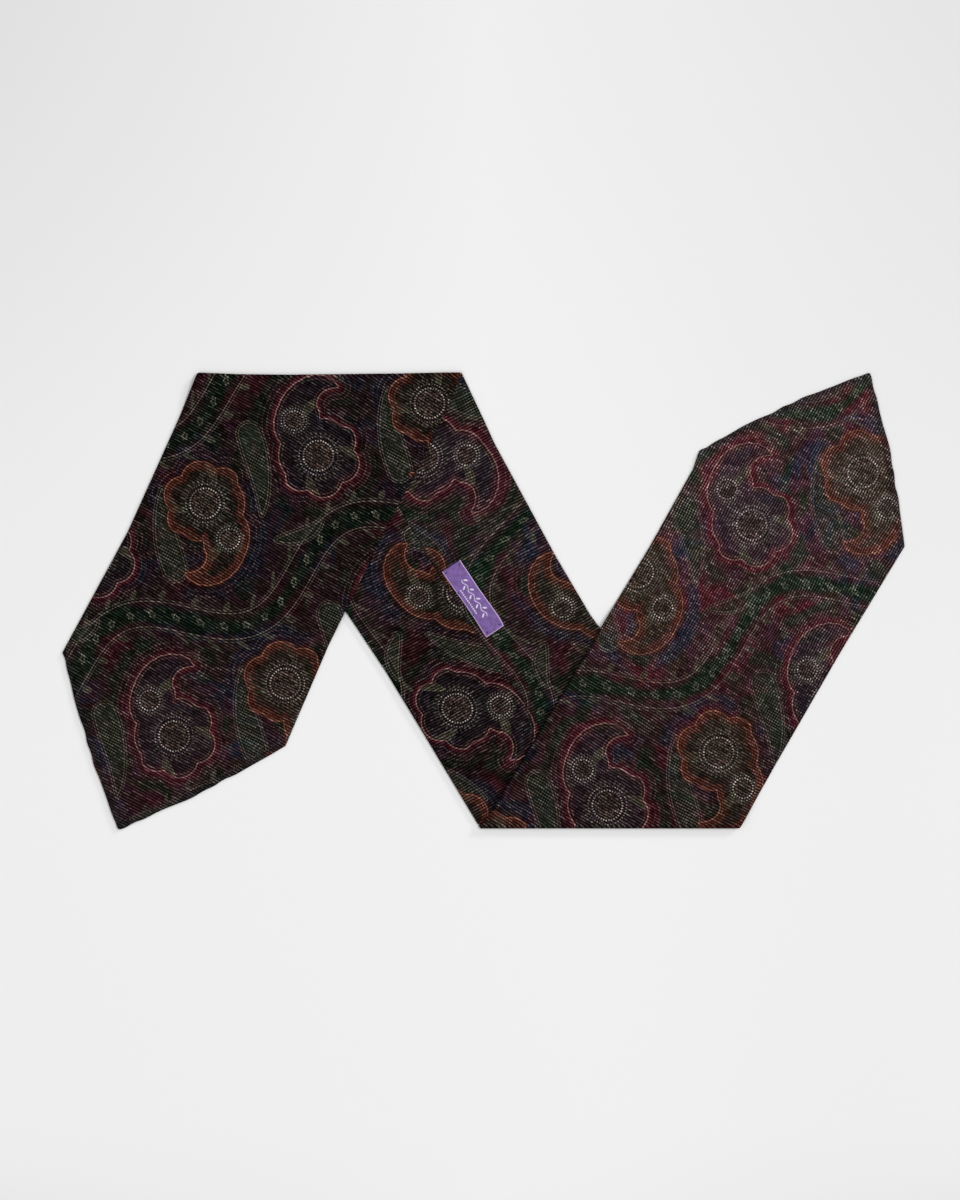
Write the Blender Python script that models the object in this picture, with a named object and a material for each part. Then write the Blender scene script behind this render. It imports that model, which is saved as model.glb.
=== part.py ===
# A silk scarf: one long bias-cut panel, folded round to a centre-back seam so that it is a flat tube,
# with a pointed, hemmed end on each side. It lies in a zigzag: the wide blade on the left, the back of the
# neck in the middle and the narrow blade on the right. Both blades lie on the neck where they fold over.
#
# The scarf is first made opened out, as it came off the ironing board: a nearly straight strip along Y with its
# back facing up. It is then folded over on two level lines, and each blade is let down to the floor beside
# the neck. Lengths here are millimetres, and finish() turns them into metres. World: +Z up, the scarf lies
# on Z = 0, and the origin is under the middle of its box.

import math
from collections import namedtuple

import bmesh
import bpy
import numpy as np
from mathutils import Matrix, Vector

MM = 0.001

# The cloth
WALL = 1.0  # one ply
GAP = 0.3  # between two plies, and between two pieces
TUBE = 2 * WALL + GAP  # the flat tube, from face to face
ROUND_OUT = TUBE / 2  # outside of the tube's long edges
ROUND_IN = GAP / 2  # inside of them
OUT_STEPS = 4
IN_STEPS = 2

# The two fold-overs, on level lines above and below the middle
FOLD = 159.5
STACK = TUBE + GAP  # how far a blade lies above the neck
TURN_AXIS = TUBE + GAP / 2  # height of the line that the cloth turns about
TURN_START = FOLD - TURN_AXIS
TURN_LENGTH = math.pi * (TURN_AXIS - TUBE / 2)  # along the middle of the tube
TURN_STEPS = 8

# Beside the neck, a blade comes down to the floor along a ramp
RAMP_FROM = 3.0  # from the neck's long edge
RAMP_LENGTH = 22.0
RAMP_STEPS = 4

# The strip opened out. up: place along it; middle: where its middle is; half: half the width, measured level,
# as the folds run. Square across, the scarf is about 165, 145 and 155 mm wide.
Row = namedtuple("Row", "up middle half")
STRIP = (
    Row(490.0, -266.5, 98.5),
    Row(350.0, -199.7, 91.8),
    Row(270.0, -158.2, 90.0),
    Row(190.0, -119.7, 92.5),
    Row(159.0, -107.0, 92.5),
    Row(125.0, -88.5, 90.0),
    Row(110.0, -80.7, 89.0),
    Row(30.0, -33.9, 85.6),
    Row(-10.0, -9.5, 84.8),
    Row(-50.0, 18.5, 86.1),
    Row(-90.0, 44.6, 87.9),
    Row(-160.0, 89.7, 91.0),
    Row(-200.0, 112.8, 90.3),
    Row(-280.0, 160.1, 89.2),
    Row(-356.0, 206.2, 89.1),
    Row(-410.0, 238.0, 90.8),
    Row(-490.0, 277.0, 102.5),
)

SEAM_OFF = -3.9  # from the middle of the strip to the seam on its back, measured level

# The pointed ends: where each slanted edge leaves the long edge, the point, and how far each slanted edge
# bows out of its chord
End = namedtuple("End", "left_shoulder left_swell tip_x tip_y right_swell right_shoulder")
WIDE_END = End(354.6, 2.5, -255.2, 479.0, 2.8, 420.2)
NARROW_END = End(-423.2, 3.4, 270.7, -478.0, 3.3, -356.0)
SWELL_STEPS = 4
HEM_WIDTH = 4.0

# The label, a woven tape on the back of the neck
LABEL_TOP = 19.9  # its two ends, and how far its left edge is from the seam there, measured level
LABEL_BOTTOM = -26.2
LABEL_OFF_TOP = 3.1
LABEL_OFF_BOTTOM = 4.4
LABEL_WIDTH = 15.4
LABEL_THICK = 1.0
LABEL_CORNER = 0.8

SILK = ("printed_silk", (0.035, 0.024, 0.032, 1.0), 0.5)
HEM_SILK = ("hem_silk", (0.030, 0.026, 0.034, 1.0), 0.55)
TAPE = ("woven_tape", (0.16, 0.08, 0.22, 1.0), 0.6)


def middle_x(up):
    rows = STRIP[::-1]
    return float(np.interp(up, [r.up for r in rows], [r.middle for r in rows]))


def seam_x(up):
    return middle_x(up) + SEAM_OFF


def half_width(up):
    rows = STRIP[::-1]
    return float(np.interp(up, [r.up for r in rows], [r.half for r in rows]))


def side_point(up, side):
    """A point on the long edge, side being -1 on the left and 1 on the right."""
    return Vector((middle_x(up) + side * half_width(up), up, 0.0))


def arc(centre_x, radius, start, end, steps):
    """Points of an arc about the middle of the tube, as (x, z), with angles in degrees."""
    angles = [math.radians(start + (end - start) * i / steps) for i in range(steps + 1)]
    return [(centre_x + radius * math.cos(a), TUBE / 2 + radius * math.sin(a)) for a in angles]


def tube_section(up):
    """The tube cut level: one ply below, its two edges turned up and over, meeting at the seam."""
    seam = seam_x(up)
    left = middle_x(up) - half_width(up) + ROUND_OUT
    right = middle_x(up) + half_width(up) - ROUND_OUT
    lip = GAP / 2
    outside = [(seam + lip, TUBE)]
    outside += arc(right, ROUND_OUT, 90, -90, OUT_STEPS)
    outside += arc(left, ROUND_OUT, -90, -270, OUT_STEPS)
    outside += [(seam - lip, TUBE)]
    inside = [(seam - lip, TUBE - WALL)]
    inside += arc(left, ROUND_IN, -270, -90, IN_STEPS)
    inside += arc(right, ROUND_IN, -90, 90, IN_STEPS)
    inside += [(seam + lip, TUBE - WALL)]
    return [Vector((x, up, z)) for x, z in outside + inside]


def loft(sections):
    """A closed body through rings of the same number of points."""
    bm = bmesh.new()
    rings = [[bm.verts.new(point) for point in section] for section in sections]
    count = len(rings[0])
    for ring, following in zip(rings, rings[1:]):
        for i in range(count):
            j = (i + 1) % count
            bm.faces.new((ring[i], ring[j], following[j], following[i]))
    bm.faces.new(rings[0][::-1])
    bm.faces.new(rings[-1])
    bmesh.ops.triangulate(bm, faces=[f for f in bm.faces if len(f.verts) > 4])
    return bm


def slice_through(bm, point, normal, trim):
    """Cuts along a plane. With trim, the side that the normal points to goes, and the cut is closed."""
    everything = bm.verts[:] + bm.edges[:] + bm.faces[:]
    cut = bmesh.ops.bisect_plane(
        bm, geom=everything, dist=1e-4, plane_co=point, plane_no=normal, clear_outer=trim
    )
    if trim:
        edges = [item for item in cut["geom_cut"] if isinstance(item, bmesh.types.BMEdge)]
        closed = bmesh.ops.holes_fill(bm, edges=edges, sides=0)
        bmesh.ops.triangulate(bm, faces=closed["faces"], ngon_method="EAR_CLIP")


def end_outline(end):
    """The slanted edges of one end, from the left shoulder round the point to the right shoulder."""
    tip = Vector((end.tip_x, end.tip_y, 0.0))
    left = side_point(end.left_shoulder, -1)
    right = side_point(end.right_shoulder, 1)
    return bowed(left, tip, end.left_swell, end) + bowed(tip, right, end.right_swell, end)[1:]


def bowed(start, finish, swell, end):
    """A line from start to finish whose middle stands out by swell, away from the strip."""
    steps = SWELL_STEPS if swell else 1
    chord = finish - start
    outward = Vector((chord.y, -chord.x, 0.0)).normalized()
    if outward.y * end.tip_y < 0:
        outward = -outward
    shares = [i / steps for i in range(steps + 1)]
    return [start + chord * s + outward * swell * 4 * s * (1 - s) for s in shares]


def inward_normals(outline, end):
    """The level direction into the strip, for each stretch of an end's outline."""
    normals = []
    for start, finish in zip(outline, outline[1:]):
        chord = finish - start
        normal = Vector((chord.y, -chord.x, 0.0)).normalized()
        normals.append(normal if normal.y * end.tip_y < 0 else -normal)
    return normals


def trim_end(bm, end):
    """Cuts a blade to its point, one hem's width inside the outline."""
    outline = end_outline(end)
    for start, inward in zip(outline, inward_normals(outline, end)):
        slice_through(bm, start + inward * (HEM_WIDTH + GAP), -inward, trim=True)


def hem(end):
    """The rolled hem: a flat round-edged roll along the outline, mitred at the point."""
    outline = end_outline(end)
    normals = inward_normals(outline, end)
    back = -math.copysign(HEM_WIDTH, end.tip_y)
    along_left = side_point(end.left_shoulder + back, -1) - outline[0]
    along_right = side_point(end.right_shoulder + back, 1) - outline[-1]
    across = [along_left / along_left.dot(normals[0])]
    across += [(a + b) / (1 + a.dot(b)) for a, b in zip(normals, normals[1:])]
    across += [along_right / along_right.dot(normals[-1])]
    roll = [(x, z) for x, z in arc(HEM_WIDTH - ROUND_OUT, ROUND_OUT, 90, -90, OUT_STEPS)]
    roll += [(x, z) for x, z in arc(ROUND_OUT, ROUND_OUT, -90, -270, OUT_STEPS)]
    return loft([[p + way * x + Vector((0, 0, z)) for x, z in roll] for p, way in zip(outline, across)])


def fold_over(point):
    """Takes a point of the opened-out strip round the upper or the lower fold, if it lies past one."""
    side = math.copysign(1.0, point.y)
    past = abs(point.y) - TURN_START
    if past <= 0:
        return point
    if past >= TURN_LENGTH:
        return Vector((point.x, side * (TURN_START - past + TURN_LENGTH), 2 * TURN_AXIS - point.z))
    angle = math.pi * past / TURN_LENGTH
    radius = TURN_AXIS - point.z
    level = side * (TURN_START + radius * math.sin(angle))
    return Vector((point.x, level, TURN_AXIS - radius * math.cos(angle)))


def neck_edge(side):
    """A point on the neck's long edge where a blade crosses it, and the level direction away from the neck."""
    upper, lower = (TURN_START, 0.0) if side < 0 else (0.0, -TURN_START)
    start, finish = side_point(upper, side), side_point(lower, side)
    along = (finish - start).normalized()
    return start, Vector((along.y, -along.x, 0.0)) * -side


def let_down(bm, side):
    """Lowers a folded blade from the neck's back to the floor, along a ramp beside the neck's edge."""
    start, away = neck_edge(side)
    for i in range(RAMP_STEPS + 1):
        distance = RAMP_FROM + RAMP_LENGTH * i / RAMP_STEPS
        slice_through(bm, start + away * distance, away, trim=False)
    for vert in bm.verts:
        past = ((vert.co - start).dot(away) - RAMP_FROM) / RAMP_LENGTH
        share = min(max(past, 0.0), 1.0)
        vert.co.z -= STACK * share * share * (3 - 2 * share)


def fold_mesh(bm):
    for vert in bm.verts:
        vert.co = fold_over(vert.co)


def neck():
    """The middle stretch, flat, from one fold to the other."""
    last = TURN_START - GAP
    between = [r.up for r in STRIP if abs(r.up) < last]
    return loft([tube_section(up) for up in [last] + between + [-last]])


def blade(end, side):
    """The stretch past one fold, with the fold itself, trimmed to its point and let down."""
    turn = [TURN_START + TURN_LENGTH * i / TURN_STEPS for i in range(TURN_STEPS + 1)]
    beyond = [abs(r.up) for r in STRIP if r.up * side < 0 and abs(r.up) > turn[-1]]
    bm = loft([tube_section(-side * up) for up in turn + sorted(beyond)])
    trim_end(bm, end)
    fold_mesh(bm)
    let_down(bm, side)
    return bm


def hem_of(end, side):
    bm = hem(end)
    fold_mesh(bm)
    let_down(bm, side)
    return bm


def label():
    """A thin tape with its left edge beside the seam, a gap above the back of the neck."""
    start = Vector((seam_x(LABEL_TOP) + LABEL_OFF_TOP, LABEL_TOP, 0.0))
    run = Vector((seam_x(LABEL_BOTTOM) + LABEL_OFF_BOTTOM, LABEL_BOTTOM, 0.0)) - start
    along = run.normalized()
    right = Vector((-along.y, along.x, 0.0))
    centre = start + run / 2 + right * LABEL_WIDTH / 2
    bm = bmesh.new()
    bmesh.ops.create_cube(bm, size=1.0)
    bmesh.ops.scale(bm, vec=(LABEL_WIDTH, run.length, LABEL_THICK), verts=bm.verts)
    upright = [e for e in bm.edges if abs(e.verts[0].co.z - e.verts[1].co.z) > LABEL_THICK / 2]
    bmesh.ops.bevel(
        bm, geom=upright, offset=LABEL_CORNER, segments=3, profile=0.5, affect="EDGES", material=-1
    )
    turned = Matrix((right, -along, Vector((0, 0, 1)))).transposed()
    bmesh.ops.rotate(bm, cent=(0, 0, 0), matrix=turned, verts=bm.verts)
    height = TUBE + GAP + LABEL_THICK / 2
    bmesh.ops.translate(bm, vec=centre + Vector((0, 0, height)), verts=bm.verts)
    return bm


def material(name, colour, roughness):
    made = bpy.data.materials.new(name)
    made.use_nodes = True
    shader = made.node_tree.nodes["Principled BSDF"]
    shader.inputs["Base Color"].default_value = colour
    shader.inputs["Roughness"].default_value = roughness
    made.diffuse_color = colour
    return made


def finish(name, bm, finish_of):
    """Makes the piece an object of its own, in metres, with its faces pointing out."""
    bmesh.ops.dissolve_degenerate(bm, dist=1e-4, edges=bm.edges)
    bmesh.ops.triangulate(bm, faces=bm.faces[:])
    bmesh.ops.recalc_face_normals(bm, faces=bm.faces[:])
    bmesh.ops.scale(bm, vec=(MM, MM, MM), verts=bm.verts)
    mesh = bpy.data.meshes.new(name)
    bm.to_mesh(mesh)
    bm.free()
    mesh.materials.append(finish_of)
    made = bpy.data.objects.new(name, mesh)
    bpy.context.scene.collection.objects.link(made)
    return made


def stand_on_origin(pieces):
    """Moves every piece so that the origin is under the middle of the whole scarf."""
    points = np.array([v.co for piece in pieces for v in piece.data.vertices])
    low, high = points.min(axis=0), points.max(axis=0)
    shift = Vector((-(low[0] + high[0]) / 2, -(low[1] + high[1]) / 2, -low[2]))
    for piece in pieces:
        piece.data.transform(Matrix.Translation(shift))


def main():
    for old in list(bpy.data.objects):
        bpy.data.objects.remove(old)
    silk, hem_silk, tape = material(*SILK), material(*HEM_SILK), material(*TAPE)
    stand_on_origin(
        [
            finish("wide_blade", blade(WIDE_END, -1), silk),
            finish("neck", neck(), silk),
            finish("narrow_blade", blade(NARROW_END, 1), silk),
            finish("wide_hem", hem_of(WIDE_END, -1), hem_silk),
            finish("narrow_hem", hem_of(NARROW_END, 1), hem_silk),
            finish("label", label(), tape),
        ]
    )


main()
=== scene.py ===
# %% [markdown]
# # A silk scarf, laid out in a zigzag
# This is a neck scarf of dark printed silk twill. It is one long panel cut on the bias and sewn round to a
# seam on its back, so that it is a flat tube, with a pointed, hemmed end on each side. Two fold-overs lay
# it in a zigzag. The frame holds its solids, and this lesson gives them their cloth, print, hems, stitches
# and label. Lengths here are millimetres until a piece is finished, because that is how a maker measures a
# scarf.

# %% Load the frame
import math
from collections import namedtuple

import bmesh
import bpy
import numpy as np
from mathutils import Matrix, Vector


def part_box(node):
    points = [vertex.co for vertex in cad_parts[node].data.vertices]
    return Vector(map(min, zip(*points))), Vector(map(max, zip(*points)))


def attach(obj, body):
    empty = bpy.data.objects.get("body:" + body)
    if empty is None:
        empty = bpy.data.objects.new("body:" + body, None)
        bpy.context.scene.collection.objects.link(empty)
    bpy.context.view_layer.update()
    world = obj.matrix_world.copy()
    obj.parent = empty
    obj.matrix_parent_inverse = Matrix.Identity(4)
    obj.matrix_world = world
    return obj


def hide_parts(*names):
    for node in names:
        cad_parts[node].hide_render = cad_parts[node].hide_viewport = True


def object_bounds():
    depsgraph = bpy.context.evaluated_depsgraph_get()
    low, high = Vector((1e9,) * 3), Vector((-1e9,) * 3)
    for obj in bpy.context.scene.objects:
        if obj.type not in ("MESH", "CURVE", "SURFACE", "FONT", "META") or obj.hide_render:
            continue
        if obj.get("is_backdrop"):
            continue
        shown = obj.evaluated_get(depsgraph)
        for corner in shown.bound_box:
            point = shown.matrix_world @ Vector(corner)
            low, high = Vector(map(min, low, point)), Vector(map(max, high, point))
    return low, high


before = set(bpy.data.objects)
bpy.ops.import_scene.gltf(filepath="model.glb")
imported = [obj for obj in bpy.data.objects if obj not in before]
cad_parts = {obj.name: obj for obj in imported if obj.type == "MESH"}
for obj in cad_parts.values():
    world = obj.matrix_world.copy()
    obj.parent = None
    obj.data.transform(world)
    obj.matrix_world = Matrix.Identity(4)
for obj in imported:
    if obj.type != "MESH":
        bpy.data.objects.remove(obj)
cad_box = [list(corner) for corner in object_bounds()]
scene = bpy.context.scene
MM = 0.001
BODY = "root"
print("The frame holds", len(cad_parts), "solids")
print("The scarf covers", [round((b - a) / MM, 1) for a, b in zip(*cad_box)], "mm")

# %% [markdown]
# ## The strip, opened out
# The scarf is easiest to describe as it came off the ironing board: a nearly straight strip with its back
# facing up. Each row says where its middle is at one height, and half its width there, measured level. The
# seam on its back lies a little to the left of the middle. Everything else is worked out from these rows:
# the cloth, where the print falls, and where the folds come. The frame's neck says how far the whole scarf
# was moved to stand on its origin.

# %% Measures of the strip
Row = namedtuple("Row", "up middle half")
STRIP = (
    Row(-490.0, 277.0, 102.5),
    Row(-410.0, 238.0, 90.8),
    Row(-356.0, 206.2, 89.1),
    Row(-280.0, 160.1, 89.2),
    Row(-200.0, 112.8, 90.3),
    Row(-160.0, 89.7, 91.0),
    Row(-90.0, 44.6, 87.9),
    Row(-50.0, 18.5, 86.1),
    Row(-10.0, -9.5, 84.8),
    Row(30.0, -33.9, 85.6),
    Row(110.0, -80.7, 89.0),
    Row(125.0, -88.5, 90.0),
    Row(159.0, -107.0, 92.5),
    Row(190.0, -119.7, 92.5),
    Row(270.0, -158.2, 90.0),
    Row(350.0, -199.7, 91.8),
    Row(490.0, -266.5, 98.5),
)
SEAM_OFF = -3.9  # from the middle of the back to the seam
WALL = 1.0  # one ply
GAP = 0.3  # between two plies
TUBE = 2 * WALL + GAP  # height of the flat tube
ROUND_OUT = TUBE / 2  # rounding of its long edges, outside
ROUND_IN = GAP / 2  # and inside
FOLD = 159.5  # how far from the middle the fold-overs reach
STACK = TUBE + GAP  # how high a blade lies on the neck
TURN_AXIS = TUBE + GAP / 2  # height of a fold-over's axis
TURN_START = FOLD - TURN_AXIS
TURN_LENGTH = math.pi * (TURN_AXIS - TUBE / 2)
TURN_END = TURN_START + TURN_LENGTH
TURN_STEPS = 8
NECK_END = TURN_START - GAP


def from_rows(rows, up, field):
    """A measure at any height, from the rows above and below it."""
    return np.interp(up, [row.up for row in rows], [getattr(row, field) for row in rows])


def middle_x(up):
    return from_rows(STRIP, up, "middle")


def seam_x(up):
    return middle_x(up) + SEAM_OFF


def half_width(up):
    return from_rows(STRIP, up, "half")


def side_point(up, side):
    """A point on a long edge, side being -1 on the left and 1 on the right."""
    return Vector((float(middle_x(up) + side * half_width(up)), up, 0.0))


neck_low, neck_high = (np.array(corner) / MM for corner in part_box("neck"))
shift = Vector((0.0, (neck_low[1] + neck_high[1]) / 2, 0.0))
shift.x = neck_high[0] - side_point(-NECK_END, 1).x
print("Moved by", [round(x, 2) for x in shift], "mm to stand on the origin")

# %% [markdown]
# ## Cloth as a grid wrapped into a tube
# A tube of cloth could be modelled as a box and flattened, but then its threads would have nowhere to run.
# Here a plane grid is wrapped: its columns go once round the outside of the tube and back along the inside,
# and its rows follow the strip. The face that shows gets a column for about every millimetre, because the
# print is carried by the vertices, and the rest gets a few. Each column is a share of the half width, plus
# an offset, at a height.

# %% Columns of the tube
FINE = 0.95  # a cell of the face that shows
OUT_STEPS = 6  # round a long edge, outside
IN_STEPS = 2  # and inside
Column = namedtuple("Column", "share offset height")


def level_run(start, end, height, steps):
    """Columns from one share of the half width to another, stopping short of the rounded long edges."""
    shares = [start + (end - start) * i / steps for i in range(steps + 1)]
    return [Column(s, -s * ROUND_OUT, height) for s in shares]


def edge_run(side, radius, start, end, steps):
    """Columns round a long edge, with angles in degrees from level."""
    angles = [math.radians(start + (end - start) * i / steps) for i in range(steps + 1)]
    middle = TUBE / 2
    return [
        Column(side, side * (radius * math.cos(a) - ROUND_OUT), middle + radius * math.sin(a)) for a in angles
    ]


def flap_run(side, height, steps):
    """Columns of a back flap, from its side of the seam's slit out to a long edge."""
    shares = [i / steps for i in range(1, steps + 1)]
    out = [Column(side * s, SEAM_OFF * (1 - s) - side * s * ROUND_OUT, height) for s in shares]
    return [Column(0.0, SEAM_OFF + side * GAP / 2, height)] + out


def tube_columns(front_steps, flap_steps, inner_steps):
    right_flap = flap_run(1, TUBE, flap_steps)
    right_edge = edge_run(1, ROUND_OUT, 90, -90, OUT_STEPS)
    front = level_run(1, -1, 0.0, front_steps)
    left_edge = edge_run(-1, ROUND_OUT, -90, 90, OUT_STEPS)
    left_flap = flap_run(-1, TUBE, flap_steps)[::-1]
    outside = right_flap + right_edge[1:-1] + front + left_edge[1:-1] + left_flap
    inner_left = flap_run(-1, TUBE - WALL, inner_steps)
    inner_right = flap_run(1, TUBE - WALL, inner_steps)[::-1]
    turn_left = edge_run(-1, ROUND_IN, 90, -90, IN_STEPS)[1:-1]
    turn_right = edge_run(1, ROUND_IN, -90, 90, IN_STEPS)[1:-1]
    inner_front = level_run(-1, 1, WALL, 2 * inner_steps)
    return outside + inner_left + turn_left + inner_front + turn_right + inner_right


def wrap_tube(columns, ups):
    """A grid wrapped round the strip through the given heights, closed along its slit and at both ends."""
    bm = bmesh.new()
    bmesh.ops.create_grid(bm, x_segments=len(columns), y_segments=len(ups) - 1, size=1.0)
    round_it = columns + columns[:1]
    for i, vert in enumerate(bm.verts):
        column, up = round_it[i % len(round_it)], ups[i // len(round_it)]
        across = float(middle_x(up)) + column.share * float(half_width(up)) + column.offset
        vert.co = (across, up, column.height)
    bmesh.ops.remove_doubles(bm, verts=bm.verts, dist=GAP / 10)
    open_ends = [edge for edge in bm.edges if edge.is_boundary]
    ends = bmesh.ops.holes_fill(bm, edges=open_ends, sides=0)
    bmesh.ops.triangulate(bm, faces=ends["faces"], ngon_method="EAR_CLIP")
    return bm


front_steps = round(2 * half_width(0.0) / FINE)
print("A fine face has", front_steps, "columns")

# %% [markdown]
# ## The pointed ends
# Both plies of a tube come to the same point, so they are cut together here: the tube is sliced along
# planes through the outline, and what lies past them goes. A hem of its own then finishes the raw edge.

# %% Slicing the ends
End = namedtuple("End", "left_shoulder left_swell tip_x tip_y right_swell right_shoulder")
WIDE_END = End(354.6, 2.5, -255.2, 479.0, 2.8, 420.2)
NARROW_END = End(-423.2, 3.4, 270.7, -478.0, 3.3, -356.0)
SWELL_STEPS = 4
HEM_WIDTH = 4.0
CUT_EPSILON = 1e-4


def level_normal(start, finish, end):
    """The level direction square to a stretch of an end's outline, into the strip."""
    chord = finish - start
    normal = Vector((chord.y, -chord.x, 0.0)).normalized()
    return normal if normal.y * end.tip_y < 0 else -normal


def bowed(start, finish, swell, end):
    """A line from start to finish whose middle stands out by swell."""
    steps = SWELL_STEPS if swell else 1
    outward = -level_normal(start, finish, end)
    shares = [i / steps for i in range(steps + 1)]
    return [start.lerp(finish, s) + outward * swell * 4 * s * (1 - s) for s in shares]


def end_outline(end):
    """The slanted edges of one end, from the left shoulder round the point to the right shoulder."""
    tip = Vector((end.tip_x, end.tip_y, 0.0))
    left = side_point(end.left_shoulder, -1)
    right = side_point(end.right_shoulder, 1)
    return bowed(left, tip, end.left_swell, end) + bowed(tip, right, end.right_swell, end)[1:]


def slice_off(bm, point, outward):
    """Cuts away what lies past a plane, and closes the cut."""
    everything = bm.verts[:] + bm.edges[:] + bm.faces[:]
    cut = bmesh.ops.bisect_plane(
        bm, geom=everything, dist=CUT_EPSILON, plane_co=point, plane_no=outward, clear_outer=True
    )
    edges = [item for item in cut["geom_cut"] if isinstance(item, bmesh.types.BMEdge)]
    closed = bmesh.ops.holes_fill(bm, edges=edges, sides=0)
    bmesh.ops.triangulate(bm, faces=closed["faces"], ngon_method="EAR_CLIP")


def trim_end(bm, end):
    outline = end_outline(end)
    for start, finish in zip(outline, outline[1:]):
        inward = level_normal(start, finish, end)
        slice_off(bm, start + inward * (HEM_WIDTH + GAP), -inward)


print("The wide end's outline has", len(end_outline(WIDE_END)), "points")

# %% [markdown]
# ## Folding and letting down
# A point past a fold-over goes round the fold's axis and comes back above the neck. The fold takes a few
# millimetres of cloth, as a real one does. Beside the neck, a blade comes down to the floor along a soft
# ramp. Numpy moves all the points of a piece at once.

# %% Folding
RAMP_FROM = 3.0
RAMP_LENGTH = 22.0


def fold_over(points):
    """Takes points of the opened-out strip, in rows of x, up and height, round the folds."""
    folded = points.copy()
    side = np.sign(points[:, 1])
    past = np.abs(points[:, 1]) - TURN_START
    over = past >= TURN_LENGTH
    folded[over, 1] = (side * (TURN_START - past + TURN_LENGTH))[over]
    folded[over, 2] = 2 * TURN_AXIS - points[over, 2]
    turning = (past > 0) & ~over
    angle = np.pi * past / TURN_LENGTH
    radius = TURN_AXIS - points[:, 2]
    folded[turning, 1] = (side * (TURN_START + radius * np.sin(angle)))[turning]
    folded[turning, 2] = (TURN_AXIS - radius * np.cos(angle))[turning]
    return folded


def past_neck(points, side):
    """How far points lie outside the neck's long edge, on the side where a blade leaves it."""
    upper, lower = (TURN_START, 0.0) if side < 0 else (0.0, -TURN_START)
    start, finish = side_point(upper, side), side_point(lower, side)
    along = (finish - start).normalized()
    away = Vector((along.y, -along.x, 0.0)) * -side
    return (points[:, 0] - start.x) * away.x + (points[:, 1] - start.y) * away.y


def smoothstep(value, low, high):
    share = np.clip((value - low) / (high - low), 0.0, 1.0)
    return share * share * (3.0 - 2.0 * share)


def let_down(points, side):
    lowered = points.copy()
    lowered[:, 2] -= STACK * smoothstep(past_neck(points, side), RAMP_FROM, RAMP_FROM + RAMP_LENGTH)
    return lowered


print("A fold-over takes", round(TURN_LENGTH, 2), "mm of cloth")

# %% [markdown]
# ## Where the print falls on the cloth
# Silk is printed flat and cut afterwards, so the pattern runs on round the long edges and breaks at the
# seam. A point on a back flap is unfolded about its long edge to find its place on the flat cloth. On the
# bias, the ribs of the twill run straight across the strip, and the print's rows run at a slant to it.

# %% The flat cloth
STRIP_TURN = math.radians(119.5)
ALONG = np.array([math.cos(STRIP_TURN), math.sin(STRIP_TURN)])
ACROSS = np.array([math.sin(STRIP_TURN), -math.cos(STRIP_TURN)])


def on_flat_cloth(points):
    """Places on the unfolded panel, in rows of two, for points of the opened-out strip."""
    offset = points[:, 0] - middle_x(points[:, 1])
    side = np.where(offset >= SEAM_OFF, 1.0, -1.0)
    inside = half_width(points[:, 1]) - offset * side
    on_back = points[:, 2] > TUBE / 2
    unfolded = 2 * inside * ACROSS[0] * side * on_back
    return points[:, :2] + unfolded[:, None] * ACROSS


# %% [markdown]
# ## Drawing a paisley
# The teardrop of a paisley, the boteh, is a disc that shrinks as it moves along a curling line. That is how
# it is drawn here: a motif is a spine and a radius at each place on it, and its outline is where the
# distance to that body is nought. Leaves and buds are the same with another radius. The distance is stored
# on each vertex in millimetres, so a shader can draw a line of any width along it, inside it or outside it.

# %% Motifs
Motif = namedtuple("Motif", "a b heading length radius bend profile")
FAR_AWAY = 1e6
FURTHEST = 200.0  # a distance past this makes no difference
MELT = 1.2  # over this length, the run of one part of an outline passes into the next


def teardrop(share):
    return (1 - share) ** 0.9 * (1 - 0.16 * np.sin(np.pi * share)) + 0.02


def lens(share):
    return np.sin(np.pi * (0.04 + 0.92 * share)) ** 0.8


def bud(share):
    return (1 - share) ** 0.75 * (0.72 + 0.28 * np.sin(np.pi * np.minimum(share * 2, 1) / 2)) + 0.03


def spine(motif, steps):
    """Places along a motif's spine in its own axes, and the body's radius there."""
    share = np.linspace(0, 1, steps + 1)
    heading = np.radians(motif.bend) * share**1.7
    middle = (heading[1:] + heading[:-1]) / 2
    stride = motif.length / steps
    x = np.concatenate([[0.0], np.cumsum(np.cos(middle) * stride)])
    y = np.concatenate([[0.0], np.cumsum(np.sin(middle) * stride)])
    return x, y, motif.profile(share) * motif.radius


def body_distance(u, v, motif, steps):
    """Distance to a motif's outline, negative inside; length along the outline; share along the spine."""
    x, y, radius = spine(motif, steps)
    nearest = np.full(u.shape, FAR_AWAY)
    weight = np.full(u.shape, 1e-30)
    run = np.zeros(u.shape)
    share = np.zeros(u.shape)
    quarter = radius[0] * math.pi / 2
    for i in range(steps):
        step_x, step_y = x[i + 1] - x[i], y[i + 1] - y[i]
        from_x, from_y = u - x[i], v - y[i]
        forward = from_x * step_x + from_y * step_y
        sideways = step_x * from_y - step_y * from_x
        part = np.clip(forward / (step_x**2 + step_y**2), 0, 1)
        gap = np.hypot(from_x - part * step_x, from_y - part * step_y)
        distance = gap - (radius[i] + part * (radius[i + 1] - radius[i]))
        along = (i + part) / steps
        length = np.sign(sideways) * (quarter + along * motif.length)
        if i == 0:
            length = np.where(part > 0, length, radius[0] * np.arctan2(sideways, -forward))
        near = np.exp(-np.clip(distance + radius[0], 0, FURTHEST) / MELT)
        run += near * length
        share += near * along
        weight += near
        nearest = np.minimum(nearest, distance)
    return nearest, run / weight, share / weight


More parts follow.
